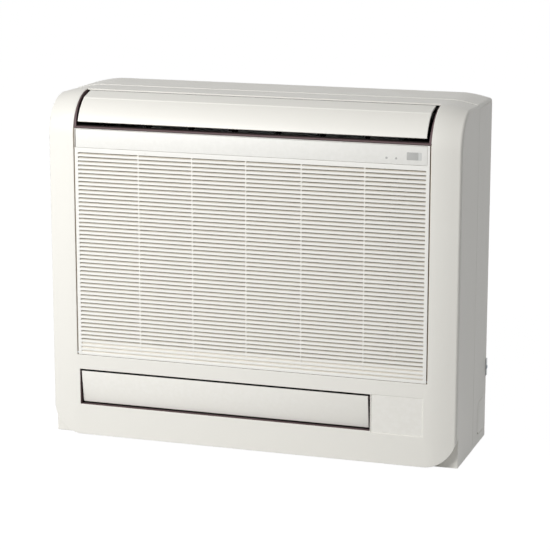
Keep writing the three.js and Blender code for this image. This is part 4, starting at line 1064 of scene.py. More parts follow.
@dataclass
class Assembly:
    """A sub-assembly that builds pieces and dresses them."""

    palette: Palette
    count: int = 0

    def piece(
        self,
        name: str,
        shape: Shape,
        finish: str,
        slot: Slot,
        body: str = "root",
        nodes: Sequence[str] = (),
        smooth: float = 40.0,
    ) -> Object:
        """Turns a finished shape into a piece that rides on a body.

        Args:
            name: Name of the piece.
            shape: Its shape; the mesh is freed.
            finish: Name of its finish.
            slot: Material slot of the record; not used.
            body: Body that it moves with.
            nodes: CAD nodes that it stands for.
            smooth: Largest angle between faces that shades as one surface, in degrees.

        Returns:
            The piece.
        """
        mesh = bpy.data.meshes.new(name)
        for face in shape.bm.faces:
            face.smooth = True
        limit = math.radians(smooth)
        for edge in shape.bm.edges:
            edge.smooth = len(edge.link_faces) == 2 and edge.calc_face_angle(0.0) < limit
        shape.bm.to_mesh(mesh)
        shape.bm.free()
        made = put(name, mesh)
        made.data.materials.append(self.palette.get(finish))
        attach(made, body)
        if nodes:
            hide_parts(*nodes)
        self.count += 1
        LOG.info("%s: %d faces on body %s", name, len(mesh.polygons), body)
        return made

    @staticmethod
    def rounding(piece: Object, width: float, segments: int = 2) -> None:
        """Rounds a piece's edges and keeps its large faces flat.

        Args:
            piece: The piece.
            width: Width of the rounding.
            segments: Steps of the rounding.
        """
        edge = piece.modifiers.new("edges", "BEVEL")
        edge.width = width * MM
        edge.segments = segments
        edge.limit_method = "ANGLE"
        edge.angle_limit = math.radians(40)
        edge.use_clamp_overlap = False
        edge.harden_normals = False
        flat = piece.modifiers.new("shading", "WEIGHTED_NORMAL")
        flat.keep_sharp = True
        flat.weight = 80


# ---- casing ----


@dataclass
class Casing(Assembly):
    """What both casing shells share: the way their skin is drawn, their wall and their edges."""

    low: float = 1.0
    sheet: float = 2.8
    edge: float = 0.7

    @staticmethod
    def sweep(shape: Shape) -> None:
        """Draws the profile at the left side across the width and lets it fall back at the sides.

        Args:
            shape: Holds the profile and takes the skin.
        """
        line = shape.bm.edges[:]
        for here, there in pairwise(UNIT.stations()):
            line = shape.draw_out(line, Axis.X, there - here, move=True)
        _, arc_y, arc_z = vector(0.0, *UNIT.arc)
        for vert in shape.bm.verts:
            drop = UNIT.drop(vert.co.x / MM) * MM
            if vert.co.y >= arc_y - 1e-6:
                vert.co.z -= drop
            elif vert.co.z <= arc_z + 1e-6:
                vert.co.y += drop
            else:
                inward = Vector((0.0, arc_y - vert.co.y, arc_z - vert.co.z)).normalized()
                vert.co += inward * drop

    def shell(self, name: str, shape: Shape, node: str) -> None:
        """Turns a sheet into a shell with its wall and rounded edges.

        Args:
            name: Name of the piece.
            shape: The sheet.
            node: CAD node that it stands for.
        """
        made = self.piece(name, shape, "cream_casing", Slot.CASING, nodes=[node])
        wall = made.modifiers.new("wall", "SOLIDIFY")
        wall.thickness = self.sheet * MM
        wall.offset = -1.0
        wall.use_even_offset = True
        self.rounding(made, self.edge, 3)


@dataclass
class FrontCasing(Casing):
    """Moulded front shell: slab front with rounded lower corners, crowned pillars, curved top."""

    slab_low: float = 4.0
    slab_back: float = -92.0
    corner: float = 55.0
    corner_steps: int = 14
    arc_steps: int = 24
    shelf: float = 0.8
    upper: float = 500.0
    fascia: float = -110.0
    flange: float = 18.0
    ledge: float = 12.0
    seam_drop: float = 0.7

    def rim_top(self) -> float:
        """Height at which the rounded corner meets the slab's side.

        Returns:
            The height.
        """
        last = math.radians(90 * (self.corner_steps - 0.5) / self.corner_steps)
        fall = self.corner * (1.0 - math.sin(last)) / math.cos(last)
        return self.slab_low + self.corner - fall

    def skin(self, shape: Shape) -> None:
        """Draws the front and top sheet with its crown, before anything is cut.

        Args:
            shape: The sheet.
        """
        left = -UNIT.side
        first = shape.bm.verts.new(vector(left, UNIT.front, self.slab_low))
        foot = shape.lead(first, vector(left, UNIT.front, UNIT.arc[1]))
        last = shape.spin([foot], -math.pi / 2, self.arc_steps)
        shape.lead(last, vector(left, UNIT.seam, UNIT.height))
        self.sweep(shape)

    def lower_corners(self, shape: Shape) -> None:
        """Cuts the slab's rounded lower corners and draws its rim back to the body.

        Args:
            shape: The sheet.
        """
        for (_, side), step in product(SIDES, range(self.corner_steps)):
            angle = math.radians(90 * (step + 0.5) / self.corner_steps)
            normal = Vector((side * math.sin(angle), 0.0, -math.cos(angle)))
            middle = vector(side * (UNIT.side - self.corner), 0.0, self.slab_low + self.corner)
            bmesh.ops.bisect_plane(
                shape.bm,
                geom=[*shape.bm.verts, *shape.bm.edges, *shape.bm.faces],
                dist=1e-6,
                plane_co=middle + normal * self.corner * MM,
                plane_no=normal,
                clear_outer=True,
            )
        top = self.rim_top() + 10 * NEAR
        shape.draw_out(shape.open_edges(lambda place: place.z < top), Axis.Y, self.slab_back)

    def side_walls(self, shape: Shape) -> None:
        """Draws the side walls back to the seam and down behind the slab.

        Args:
            shape: The sheet.
        """
        rim_top = self.rim_top()
        ceiling = UNIT.height - UNIT.crown - UNIT.fillet - NEAR
        shelf = rim_top - self.shelf
        for _, side in SIDES:

            def wall_edges(where: Test, plane: float = side * UNIT.side) -> list[BMEdge]:
                """Open edges in the plane of this side wall that meet a test."""
                return shape.open_edges(lambda p: abs(p.x - plane) < 2 * NEAR and where(p))

            edge = wall_edges(lambda p: p.y < UNIT.seam - NEAR and p.z > rim_top - NEAR)
            edge = [e for e in edge if min(v.co.z for v in e.verts) < ceiling * MM]
            shape.draw_out(edge, Axis.Y, UNIT.seam)
            plane = side * UNIT.side
            shape.slice_at(Axis.Y, self.slab_back, lambda p, x=plane: abs(p.x - x) < NEAR)
            back = self.slab_back
            foot = wall_edges(lambda p: abs(p.z - rim_top) < NEAR and p.y > back - NEAR)
            for level in (shelf, self.low):
                foot = shape.draw_out(foot, Axis.Z, level)
            upright = wall_edges(lambda p: abs(p.y - back) < NEAR and p.z < shelf + NEAR)
            shape.draw_out(upright, Axis.X, 0.0)
        bmesh.ops.remove_doubles(shape.bm, verts=shape.bm.verts[:], dist=1e-6)
        self.lower_seam(shape, ceiling)

    def lower_seam(self, shape: Shape, ceiling: float) -> None:
        """Lowers the rear edge a little, as the shell meets the rear one with a fine step.

        Args:
            shape: The sheet.
            ceiling: Height of the side walls.
        """
        rear = [v for v in shape.bm.verts if v.co.y > (UNIT.seam - NEAR) * MM]
        close = [v for v in rear if v.co.z > (ceiling - 0.5) * MM]
        ends = [v for v in close if abs(v.co.x) > (UNIT.side - 0.05) * MM]
        bmesh.ops.remove_doubles(shape.bm, verts=ends, dist=2e-4)
        foot = UNIT.arc[1]
        for vert in shape.bm.verts:
            place = vert.co / MM
            if place.y > UNIT.seam - NEAR and place.z > foot:
                share = min(1.0, (place.z - foot) / (ceiling - foot))
                vert.co.z -= self.seam_drop * share * MM

    def on_fascia(self, place: Vector) -> bool:
        """Whether a place lies on the flat front below the grille."""
        return place.y < self.fascia and place.z < UNIT.opening_low

    def openings(self, shape: Shape) -> None:
        """Cuts the openings for the grille and the outlet, and the place of the service cover.

        Args:
            shape: The sheet.
        """
        for level in (-UNIT.opening, UNIT.opening):
            shape.slice_at(Axis.X, level)
        shape.slice_at(Axis.Z, UNIT.opening_low)
        shape.slice_at(Axis.Z, UNIT.bridge, lambda p: abs(p.x) > UNIT.opening)
        shape.slice_at(Axis.Y, UNIT.opening_back, lambda p: p.z > self.upper)
        over = (UNIT.opening_low, UNIT.height + NEAR)
        across = (-UNIT.opening, UNIT.opening)
        shape.remove_faces(lambda p: inside(p, across, over) and p.y < UNIT.opening_back)
        for x, z in ((UNIT.outlet_x, UNIT.outlet_z), (UNIT.cover_x, UNIT.cover_z)):
            for level in x:
                shape.slice_at(Axis.X, level, self.on_fascia)
            for level in z:
                shape.slice_at(
                    Axis.Z, level, lambda p, x=x: self.on_fascia(p) and x[0] < p.x < x[1]
                )
            shape.remove_faces(lambda p, x=x, z=z: self.on_fascia(p) and inside(p, x, z))

    def flanges(self, shape: Shape) -> None:
        """Turns the edges of the grille's opening in towards the back.

        Args:
            shape: The sheet.
        """
        margin = 10 * NEAR
        low, high = UNIT.opening_low, UNIT.bridge
        for _, side in SIDES:
            edge = shape.open_edges(
                lambda p, x=side * UNIT.opening: abs(p.x - x) < NEAR
                and p.y < self.fascia
                and low - margin < p.z < high + margin
            )
            shape.draw_out(edge, Axis.Y, self.flange, move=True)
        ledge = shape.open_edges(
            lambda p: abs(p.z - low) < NEAR
            and p.y < self.fascia
            and abs(p.x) < UNIT.opening + margin
        )
        shape.draw_out(ledge, Axis.Y, self.ledge, move=True)

    def build(self) -> None:
        """Builds and dresses the shell."""
        shape = Shape()
        self.skin(shape)
        self.lower_corners(shape)
        self.side_walls(shape)
        self.openings(shape)
        shape.look_towards(0.0, -1.0, 0.0)
        self.flanges(shape)
        self.shell("front_casing_shell", shape, "front_casing")


@dataclass
class RearCasing(Casing):
    """Moulded rear shell with its flat top, the notches for the pipes and their covers."""

    edge: float = 1.1
    gap: float = 0.3
    notch_y: float = 48.4
    notch_z: Span = (16.7, 75.3)
    notch_radius: float = 12.3
    plate_x: float = 359.85
    plate: float = 2.5
    catch_x: Span = (354.0, 357.4)
    catch_y: Span = (3.0, 12.0)
    hook_x: Span = (354.0, 356.7)
    hook_y: Span = (-5.0, 4.0)
    catch_height: float = 8.0
    catch_ends: Span = (16.0, 20.0)
    pit_x: Span = (358.8, 359.93)
    pit_at: Span = (5.5, 3.6)
    pit_radius: float = 1.5

    def build(self) -> None:
        """Builds and dresses the shell and the two knock-out covers."""
        shape = Shape()
        front = UNIT.seam + self.gap
        first = shape.bm.verts.new(vector(-UNIT.side, front, UNIT.height))
        shape.lead(first, vector(-UNIT.side, UNIT.casing_back, UNIT.height))
        self.sweep(shape)
        for _, side in SIDES:
            self.side_wall(shape, side, front)
        bmesh.ops.remove_doubles(shape.bm, verts=shape.bm.verts[:], dist=1e-5)
        shape.look_towards(0.0, 0.0, 1.0)
        self.shell("rear_casing_shell", shape, "rear_casing")
        for word, side in SIDES:
            self.knockout(word, side)

    @staticmethod
    def round_front(shape: Shape, face: BMFace, depth: float, radius: float) -> None:
        """Rounds the corners of an upright face that lie at a depth."""
        corners = [v for v in face.verts if abs(v.co.y / MM - depth) < NEAR]
        shape.bevel(corners, "VERTICES", radius, 8)

    def side_wall(self, shape: Shape, side: int, front: float) -> None:
        """Adds one side wall with its rounded notch.

        Args:
            shape: Shape of the shell.
            side: -1 for the left wall, 1 for the right one.
            front: Its front edge.
        """
        back, top = UNIT.casing_back, UNIT.height - UNIT.crown - UNIT.fillet
        low, high = self.notch_z
        body = ((front, self.low), (back, self.low), (back, low))
        notch = ((self.notch_y, low), (self.notch_y, high))
        corners = (*body, *notch, (back, high), (back, top), (front, top))
        face = shape.outline(corners, Axis.X, side * UNIT.side)
        self.round_front(shape, face, self.notch_y, self.notch_radius)

    def knockout(self, word: str, side: int) -> None:
        """Builds the cover that fills a notch, with its two catches and a dark disc of painted
        shade for its pit.

        Args:
            word: Side's name.
            side: -1 for the left cover, 1 for the right one.
        """
        shape = Shape()
        front, back = self.notch_y + self.gap, UNIT.casing_back
        low, high = self.notch_z[0] + self.gap, self.notch_z[1] - self.gap
        corners = ((front, low), (back, low), (back, high), (front, high))
        face = shape.outline(corners, Axis.X, side * self.plate_x)
        self.round_front(shape, face, front, self.notch_radius - self.gap)
        shape.thicken(shape.bm.faces[:][0], Axis.X, -side * self.plate)
        shape.soften(0.7, 3)
        for level in (low + self.catch_ends[0], high - self.catch_ends[1]):
            for x, y in ((self.catch_x, self.catch_y), (self.hook_x, self.hook_y)):
                depth = (front + y[0], front + y[1])
                shape.block(mirrored(side, *x), depth, (level, level + self.catch_height))
        cover = f"knockout_cover_{word}"
        self.piece(f"knockout_plate_{word}", shape, "cream_casing", Slot.CASING, nodes=[cover])
        # painted shade: a dark disc on the cover's face stands for the shade in its pit
        pit = Shape()
        at = (front + self.pit_at[0], low + self.pit_at[1])
        pit.rod(self.pit_radius, Axis.X, mirrored(side, *self.pit_x), at, 20)
        self.piece(f"knockout_pit_shade_{word}", pit, "painted_shade_brown", Slot.CASING)


# ---- intake grille ----


@dataclass
class IntakeGrille(Assembly):
    """Hinged grille panel with its slots, ribs, band, window and lenses."""

    half: float = 309.0
    low: float = 147.0
    high: float = 540.5
    face: float = -112.4
    thick: float = 4.1
    bar: float = 6.0
    slots: int = 50
    pitch: float = 7.04
    slot_height: float = 3.5
    first: float = 153.0
    slope: float = 2.3
    hinge: Span = (-109.5, 150.0)
    knuckle: float = 2.9
    pin: float = 1.75
    pin_x: Span = (302.4, 316.2)
    rim_x: Span = (303.6, 307.8)
    rim_y: Span = (-108.4, -106.5)
    rim_z: Span = (150.5, 540.0)
    rim_top: float = 500.5
    marks: tuple[float, ...] = (-180.5, 168.7)
    mark: float = 0.45
    mark_y: Span = (-112.5, -112.2)
    mark_z: Span = (501.6, 504.6)
    mark_lean: float = 38.0
    mark_shift: float = 0.9
    keeper: float = 5.0
    keeper_y: Span = (-107.5, -103.5)
    keeper_z: Span = (501.0, 511.0)
    ribs: tuple[float, ...] = (-194.0, -98.0, -3.1, 93.0, 200.9)
    rib: float = 1.1
    rib_y: Span = (-111.2, -106.5)
    rib_z: Span = (160.0, 501.0)
    strip_x: Span = (-302.4, 302.4)
    strip_y: Span = (-110.2, -106.5)
    strip_z: Span = (150.8, 172.0)
    band_x: Span = (-308.0, 305.0)
    band_z: Span = (508.0, 539.5)
    band_y: Span = (-112.25, -110.5)
    band_gap: Span = (1.3, 0.4)
    window_x: Span = (270.6, 295.4)
    window_z: Span = (516.1, 528.9)
    window_depth: float = 5.0
    lenses: Span = (237.0, 253.0)
    lens_z: float = 518.0
    lens: float = 2.0
    lens_y: Span = (-112.4, -104.5)

    def build(self) -> None:
        """Builds and dresses the whole panel."""
        self.panel()
        self.rim()
        self.press_marks()
        self.rib_frame()
        self.band_parts()
        for word, side in SIDES:
            shape = Shape()
            shape.rod(self.pin, Axis.X, mirrored(side, *self.pin_x), self.hinge, 24)
            shape.soften(0.4)
            pin = f"hinge_pin_{word}"
            self.piece(f"hinge_rod_{word}", shape, "screw_zinc", Slot.SCREW, "grille", [pin])

    def panel(self) -> None:
        """Slotted panel: one sheet, cut along each slot, opened and given its thickness."""
        shape = Shape()
        half, low, high = self.half, self.low, self.high
        shape.outline(((-half, low), (half, low), (half, high), (-half, high)), Axis.Y, self.face)
        middles = [self.first + step * self.pitch for step in range(self.slots)]
        slots = [(z - self.slot_height / 2, z + self.slot_height / 2) for z in middles]
        for level in (*(level for slot in slots for level in slot), *self.band_z):
            shape.slice_at(Axis.Z, level)
        reach, top = half - self.bar, slots[-1][1]
        for level in (-reach, reach):
            shape.slice_at(Axis.X, level, lambda p: p.z < top)
        for level in self.band_x:
            shape.slice_at(Axis.X, level, lambda p: self.band_z[0] < p.z < self.band_z[1])
        shape.remove_faces(lambda p: any(inside(p, (-reach, reach), slot) for slot in slots))
        shape.remove_faces(lambda p: inside(p, self.band_x, self.band_z))
        shape.look_towards(0.0, -1.0, 0.0)
        shape.solid(self.thick)
        margin = 10 * NEAR
        slotted = (slots[0][0] - margin, top + margin)
        for vert in shape.bm.verts:
            place = vert.co / MM
            behind = place.y > self.face + self.thick / 2
            if behind and inside(place, (-reach - margin, reach + margin), slotted):
                vert.co.z += self.slope * MM
        panel = self.piece(
            "grille_panel", shape, "slat_cream", Slot.PANEL, "grille", ["intake_grille"]
        )
        self.rounding(panel, 0.45)

    def rim(self) -> None:
        """Stiffening rim behind the panel, with the hinge's knuckle and the catches' keepers."""
        shape = Shape()
        for _, side in SIDES:
            shape.block(mirrored(side, *self.rim_x), self.rim_y, self.rim_z)
        across = (-self.rim_x[1], self.rim_x[1])
        shape.block(across, self.rim_y, (self.rim_top, self.rim_z[1]))
        end = self.half - 0.2
        shape.rod(self.knuckle, Axis.X, (-end, end), self.hinge, 24)
        for x in self.marks:
            shape.block((x - self.keeper, x + self.keeper), self.keeper_y, self.keeper_z)
        shape.soften(0.3)
        self.piece("grille_rim", shape, "slat_cream", Slot.PANEL, "grille")

    def press_marks(self) -> None:
        """Small raised marks that show where to press: two strokes that lean together."""
        shape = Shape()
        for x, lean in product(self.marks, (-1, 1)):
            verts = shape.block((x - self.mark, x + self.mark), self.mark_y, self.mark_z)
            centre = vector(x, sum(self.mark_y) / 2, sum(self.mark_z) / 2)
            turn = Matrix.Rotation(math.radians(self.mark_lean * lean), 3, "Y")
            bmesh.ops.rotate(shape.bm, cent=centre, matrix=turn, verts=verts)
            aside = vector(lean * self.mark_shift, 0.0, 0.0)
            bmesh.ops.translate(shape.bm, vec=aside, verts=verts)
        self.piece("press_marks", shape, "cream_casing", Slot.PANEL, "grille")

    def rib_frame(self) -> None:
        """Upright ribs behind the slats and the strip that closes the lowest slots."""
        shape = Shape()
        shape.block(self.strip_x, self.strip_y, self.strip_z)
        for x in self.ribs:
            shape.block((x - self.rib, x + self.rib), self.rib_y, self.rib_z)
        shape.soften(0.2)
        self.piece("slat_ribs", shape, "slat_cream", Slot.PANEL, "grille", ["rib_frame"])

    def band_parts(self) -> None:
        """Band strip, receiver window and the two lenses."""
        left, gap = self.band_gap
        strip = Shape()
        across = (self.band_x[0] + left, self.band_x[1] - gap)
        strip.block(across, self.band_y, (self.band_z[0] + gap, self.band_z[1] - gap))
        strip.soften(0.35, 3)
        self.piece("band_plate", strip, "band_resin", Slot.PANEL, "grille", ["band_strip"])
        window = Shape()
        (left, right), (low, high) = self.window_x, self.window_z
        corners = ((left, low), (right, low), (right, high), (left, high))
        face = window.outline(corners, Axis.Y, self.face)
        window.bevel(face.verts[:], "VERTICES", 1.0, 4)
        window.thicken(window.bm.faces[:][0], Axis.Y, self.window_depth)
        window.soften(0.25)
        self.lens_piece("window_lens", window, "receiver_window")
        for (word, _), x in zip(SIDES, self.lenses):
            lens = Shape()
            lens.rod(self.lens, Axis.Y, self.lens_y, (x, self.lens_z), 24)
            lens.soften(0.3)
            self.lens_piece(f"indicator_{word}", lens, f"led_lens_{word}")

    def lens_piece(self, name: str, shape: Shape, node: str) -> None:
        """Dresses a piece of tinted plastic that stands for a CAD node."""
        self.piece(name, shape, "lens_plastic", Slot.LENS, "grille", [node])


# ---- outlets ----


@dataclass
class UpperOutlet(Assembly):
    """Curved flap over the upper outlet, and the dark strips in the slots at its ends."""

    half: float = 303.0
    ends: Span = (-304.3, 302.4)
    low: float = 552.0
    back: float = -50.5
    crease: float = 122.0
    rise: float = 0.8
    step: float = 1.9
    bulge: float = 0.12
    thick: float = 3.0
    arc_steps: int = 18
    chord_steps: int = 8
    axis: Span = (-66.0, 580.0)
    hub: float = 5.0
    hub_width: float = 4.0
    arm_y: Span = (-75.0, -61.5)
    arm_z: Span = (578.0, 586.5)
    pin: float = 2.5
    pin_ends: Span = (-314.6, 321.6)
    slot_low: float = 2.6
    slot_back: float = 2.0
    slot_steps: int = 20
    liner: float = 0.9
    liner_deep: float = 14.0
    lip_width: float = 4.4
    lip_tip: float = 1.0
    lip_depth: float = 1.4

    def build(self) -> None:
        """Builds and dresses the flap and the strips in its slots."""
        self.flap()
        radius = UNIT.top_radius
        start = math.pi - math.asin((UNIT.bridge + self.slot_low - UNIT.arc[1]) / radius)
        end = math.acos((self.back + self.slot_back - UNIT.arc[0]) / radius)
        for word, side in SIDES:
            wall = side * (UNIT.opening - 0.05)
            rims = ((wall, radius - self.liner), (wall, radius - self.liner_deep))
            liner = self.curved_strip(rims, (start, end))
            liner.look_towards(side, 0.0, 0.0)
            liner.solid(self.liner)
            self.piece(f"slot_liner_{word}", liner, "liner_lip", Slot.DARK)
            self.lip(word, side, (start, end))

    def curved_strip(self, rims: Sequence[Span], turn: Span) -> Shape:
        """A strip that follows the front-top curve.

        Args:
            rims: Place across and radius of both its sides.
            turn: Angle in radians at its lower and at its upper end.

        Returns:
            The strip.
        """
        shape = Shape()
        ends = [shape.bm.verts.new(vector(x, *UNIT.on_arc(turn[0], out))) for x, out in rims]
        shape.spin([*ends, shape.bm.edges.new(ends)], turn[1] - turn[0], self.slot_steps)
        return shape

    def lip(self, word: str, side: int, turn: Span) -> None:
        """Curved lip in a slot, widest at its lower end.

        Args:
            word: Side's name.
            side: -1 for the left slot, 1 for the right one.
            turn: Angle in radians at its lower and at its upper end.
        """
        out = UNIT.top_radius - self.lip_depth
        edges = (UNIT.opening - 0.1, UNIT.opening - self.lip_width)
        shape = self.curved_strip([(side * x, out) for x in edges], turn)
        low = UNIT.on_arc(turn[0], out)[1]
        for vert in shape.bm.verts:
            place = vert.co / MM
            if abs(place.x) < UNIT.opening - 0.2:
                share = (place.z - low) / (UNIT.height - low)
                vert.co.x += side * (self.lip_width - self.lip_tip) * share * MM
        shape.look_towards(0.0, -0.7, 0.7)
        shape.solid(1.0)
        self.piece(f"slot_lip_{word}", shape, "liner_lip", Slot.DARK)

    def flap(self) -> None:
        """Curved panel with its crease, its two arms and its pins."""
        shape, radius, left = Shape(), UNIT.top_radius, self.ends[0]
        start = math.pi - math.asin((self.low - UNIT.arc[1]) / radius)
        crease, end = math.radians(self.crease), math.acos((self.back - UNIT.arc[0]) / radius)
        run = 2 * self.rise / radius
        first = shape.bm.verts.new(vector(left, *UNIT.on_arc(start, radius - self.rise)))
        last = shape.spin([first], crease + run - start, self.arc_steps)
        front = vector(left, *UNIT.on_arc(crease, radius))
        rear = vector(left, *UNIT.on_arc(end, radius - self.step))
        last = shape.lead(last, front)
        for step in range(1, self.chord_steps + 1):
            share = step / self.chord_steps
            turn = crease + (end - crease) * share
            arc = vector(left, *UNIT.on_arc(turn, radius - self.step * share))
            last = shape.lead(last, front.lerp(rear, share).lerp(arc, self.bulge))
        shape.draw_out(shape.bm.edges[:], Axis.X, self.ends[1])
        shape.look_towards(0.0, -0.7, 0.7)
        shape.solid(self.thick)
        shape.soften(0.8, 3)
        arms = Shape()
        for _, side in SIDES:
            span = mirrored(side, self.half, self.half - self.hub_width)
            arms.rod(self.hub, Axis.X, span, self.axis, 32)
            arms.block(span, self.arm_y, self.arm_z)
        inner = self.half - 1.0
        for span in ((self.pin_ends[0], -inner), (inner, self.pin_ends[1])):
            arms.rod(self.pin, Axis.X, span, self.axis, 24)
        arms.soften(0.3)
        self.piece(
            "flap_panel", shape, "cream_panel", Slot.PANEL, "flap", ["upper_flap"], smooth=9.0
        )
        self.piece("flap_arms", arms, "duct_liner", Slot.DARK, "flap")


@dataclass
class LowerOutlet(Assembly):
    """Shutter of the lower outlet, the seal strips round it, brown strips of painted shade in the
    grille opening's gaps, and the service cover beside it.
    """

    x: Span = (-304.0, 210.3)
    z: Span = (61.2, 117.1)
    face: float = -111.5
    lean: float = 7.0
    thick: float = 3.0
    axis: Span = (-105.5, 113.0)
    hub: float = 3.7
    hub_width: float = 3.0
    pin: float = 1.95
    pin_ends: Span = (-310.7, 223.5)
    seal: Span = (0.1, 0.35)
    seal_y: Span = (-111.7, -104.0)
    # brown strips in the grille opening's gaps, standing as painted shade
    gap_shade_strip: Span = (0.05, 1.1)
    gap_shade_strip_y: Span = (-111.0, -96.0)
    ledge: Span = (0.3, 0.04)
    ledge_y: Span = (-111.9, -101.5)
    cover_y: Span = (-111.3, -109.6)

    def build(self) -> None:
        """Builds and dresses the shutter, the outlet's seal strips, the painted shade in the
        grille's gaps, and the cover.
        """
        self.shutter()
        self.seals_and_gap_shade()
        cover = Shape()
        cover.block(UNIT.cover_x, self.cover_y, UNIT.cover_z)
        self.piece("service_plate", cover, "cream_casing", Slot.CASING, nodes=["service_cover"])

    def shutter(self) -> None:
        """Leaning panel with three arms and its pins."""
        shape = Shape()
        (left, right), (low, high), thick = self.x, self.z, self.thick
        foot = self.face + self.lean
        corners = ((self.face, high), (foot, low), (foot + thick, low), (self.face + thick, high))
        shape.thicken(shape.outline(corners, Axis.X, left), Axis.X, right - left)
        shape.soften(0.6, 3)
        nodes = ["lower_shutter"]
        self.piece("shutter_panel", shape, "cream_panel", Slot.PANEL, "shutter", nodes)
        arms = Shape()
        for x in (left, (left + right) / 2, right - self.hub_width):
            arms.rod(self.hub, Axis.X, (x, x + self.hub_width), self.axis, 32)
        for span in ((self.pin_ends[0], left + 1.0), (right - 1.0, self.pin_ends[1])):
            arms.rod(self.pin, Axis.X, span, self.axis, 24)
        arms.soften(0.3)
        self.piece("shutter_arms", arms, "duct_liner", Slot.DARK, "shutter")

    def seals_and_gap_shade(self) -> None:
        """Dark seal strips that line the edges of the outlet, and brown strips of painted shade in
        the gaps beside and under the grille.
        """
        seal = Shape()
        (left, right), low = UNIT.outlet_x, UNIT.outlet_z[0]
        out, into = self.seal
        for x in ((left - out, left + into), (right - into, right + out)):
            seal.block(x, self.seal_y, UNIT.outlet_z)
        seal.block(UNIT.outlet_x, self.seal_y, (low - out, low + into))
        self.piece("outlet_seal", seal, "liner_lip", Slot.DARK)
        # painted shade: brown strips set in the gaps beside and under the grille
        gap_shade_strip = Shape()
        side, low = UNIT.opening, UNIT.opening_low
        out, into = self.gap_shade_strip
        for x in ((-side - out, -side + into), (side - into, side + out)):
            gap_shade_strip.block(x, self.gap_shade_strip_y, (low, UNIT.bridge))
        gap_shade_strip.block((-side, side), self.ledge_y, (low - self.ledge[0], low + self.ledge[1]))
        self.piece("grille_gap_shade", gap_shade_strip, "painted_shade_brown", Slot.DARK)


# ---- fasteners ----


@dataclass
class Fasteners(Assembly):
    """Slotted screws that hold the casing to the back plate's tabs."""

    place: Span = (108.5, 125.0)
    shank: float = 1.75
    shank_x: Span = (352.2, 361.9)
    head: float = 3.15
    head_x: Span = (361.8, 362.5)
    inset: Span = (0.9, 0.25)
    ridge_x: Span = (362.45, 362.78)
    ridge_y: float = 1.6
    ridge_z: Span = (-1.45, 0.45)
    ridge: float = 1.0

    def build(self) -> None:
        """Builds and dresses both screws."""
        y, z = self.place
        width, depth = self.inset
        for word, side in SIDES:
            shape = Shape()
            shape.rod(self.shank, Axis.X, mirrored(side, *self.shank_x), self.place, 16)
            head = shape.rod(self.head, Axis.X, mirrored(side, *self.head_x), self.place, 32)
            faces = {face for vert in head for face in vert.link_faces}
            cap = max(faces, key=lambda face: side * face.calc_center_median().x)
            bmesh.ops.inset_region(shape.bm, faces=[cap], thickness=width * MM, depth=depth * MM)
            shape.soften(0.15)
            for low in self.ridge_z:
                across, tall = (y - self.ridge_y, y + self.ridge_y), (z + low, z + low + self.ridge)
                shape.block(mirrored(side, *self.ridge_x), across, tall)
            nodes = [f"tab_screw_{word}"]
            self.piece(f"casing_screw_{word}", shape, "screw_zinc", Slot.SCREW, nodes=nodes)


# ---- inner works ----


@dataclass
class InnerWorks(Assembly):
    """Inner pieces that keep their CAD mesh and take a full finish."""

    vane: ClassVar[str] = "guide_vane"
    vane_finish: ClassVar[str] = "duct_liner"
    nodes_of: ClassVar[dict[str, tuple[str, ...]]] = {
        "galvanised": ("base_pan", "back_plate", "motor_bracket", "electrical_box"),
        "inner_resin": ("box_lid", "inner_frame"),
        "screw_zinc": ("flap_motor", "shutter_motor", "fan_nut", "fan_shaft"),
        "duct_liner": ("upper_duct", "lower_duct", "vane_tie_bar", "terminal_block", "room_sensor"),
        "grey_resin": ("bell_mouth", "turbo_fan"),
        "white_resin": (
            "fan_motor",
            "air_guide",
            "drain_pan",
            "push_latch_left",
            "push_latch_right",
        ),
        "filter_weave": ("filter_left", "filter_right"),
        "fin_foil": ("fin_block",),
        "copper": ("coil_end_left", "coil_end_right", "gas_pipe", "liquid_pipe"),
        "brass": ("gas_flare_nut", "liquid_flare_nut"),
        "board_lacquer": ("control_board", "display_board"),
    }

    def build(self, nodes: dict[str, Object]) -> None:
        """Dresses the CAD nodes.

        Args:
            nodes: The CAD nodes by name.
        """
        finish_of = {node: finish for finish, names in self.nodes_of.items() for node in names}
        for name, node in nodes.items():
            finish = self.vane_finish if name.startswith(self.vane) else finish_of.get(name)
            if finish is None:
                continue
            node.data.materials.clear()
            node.data.materials.append(self.palette.get(finish))
            self.count += 1


# ---- studio ----


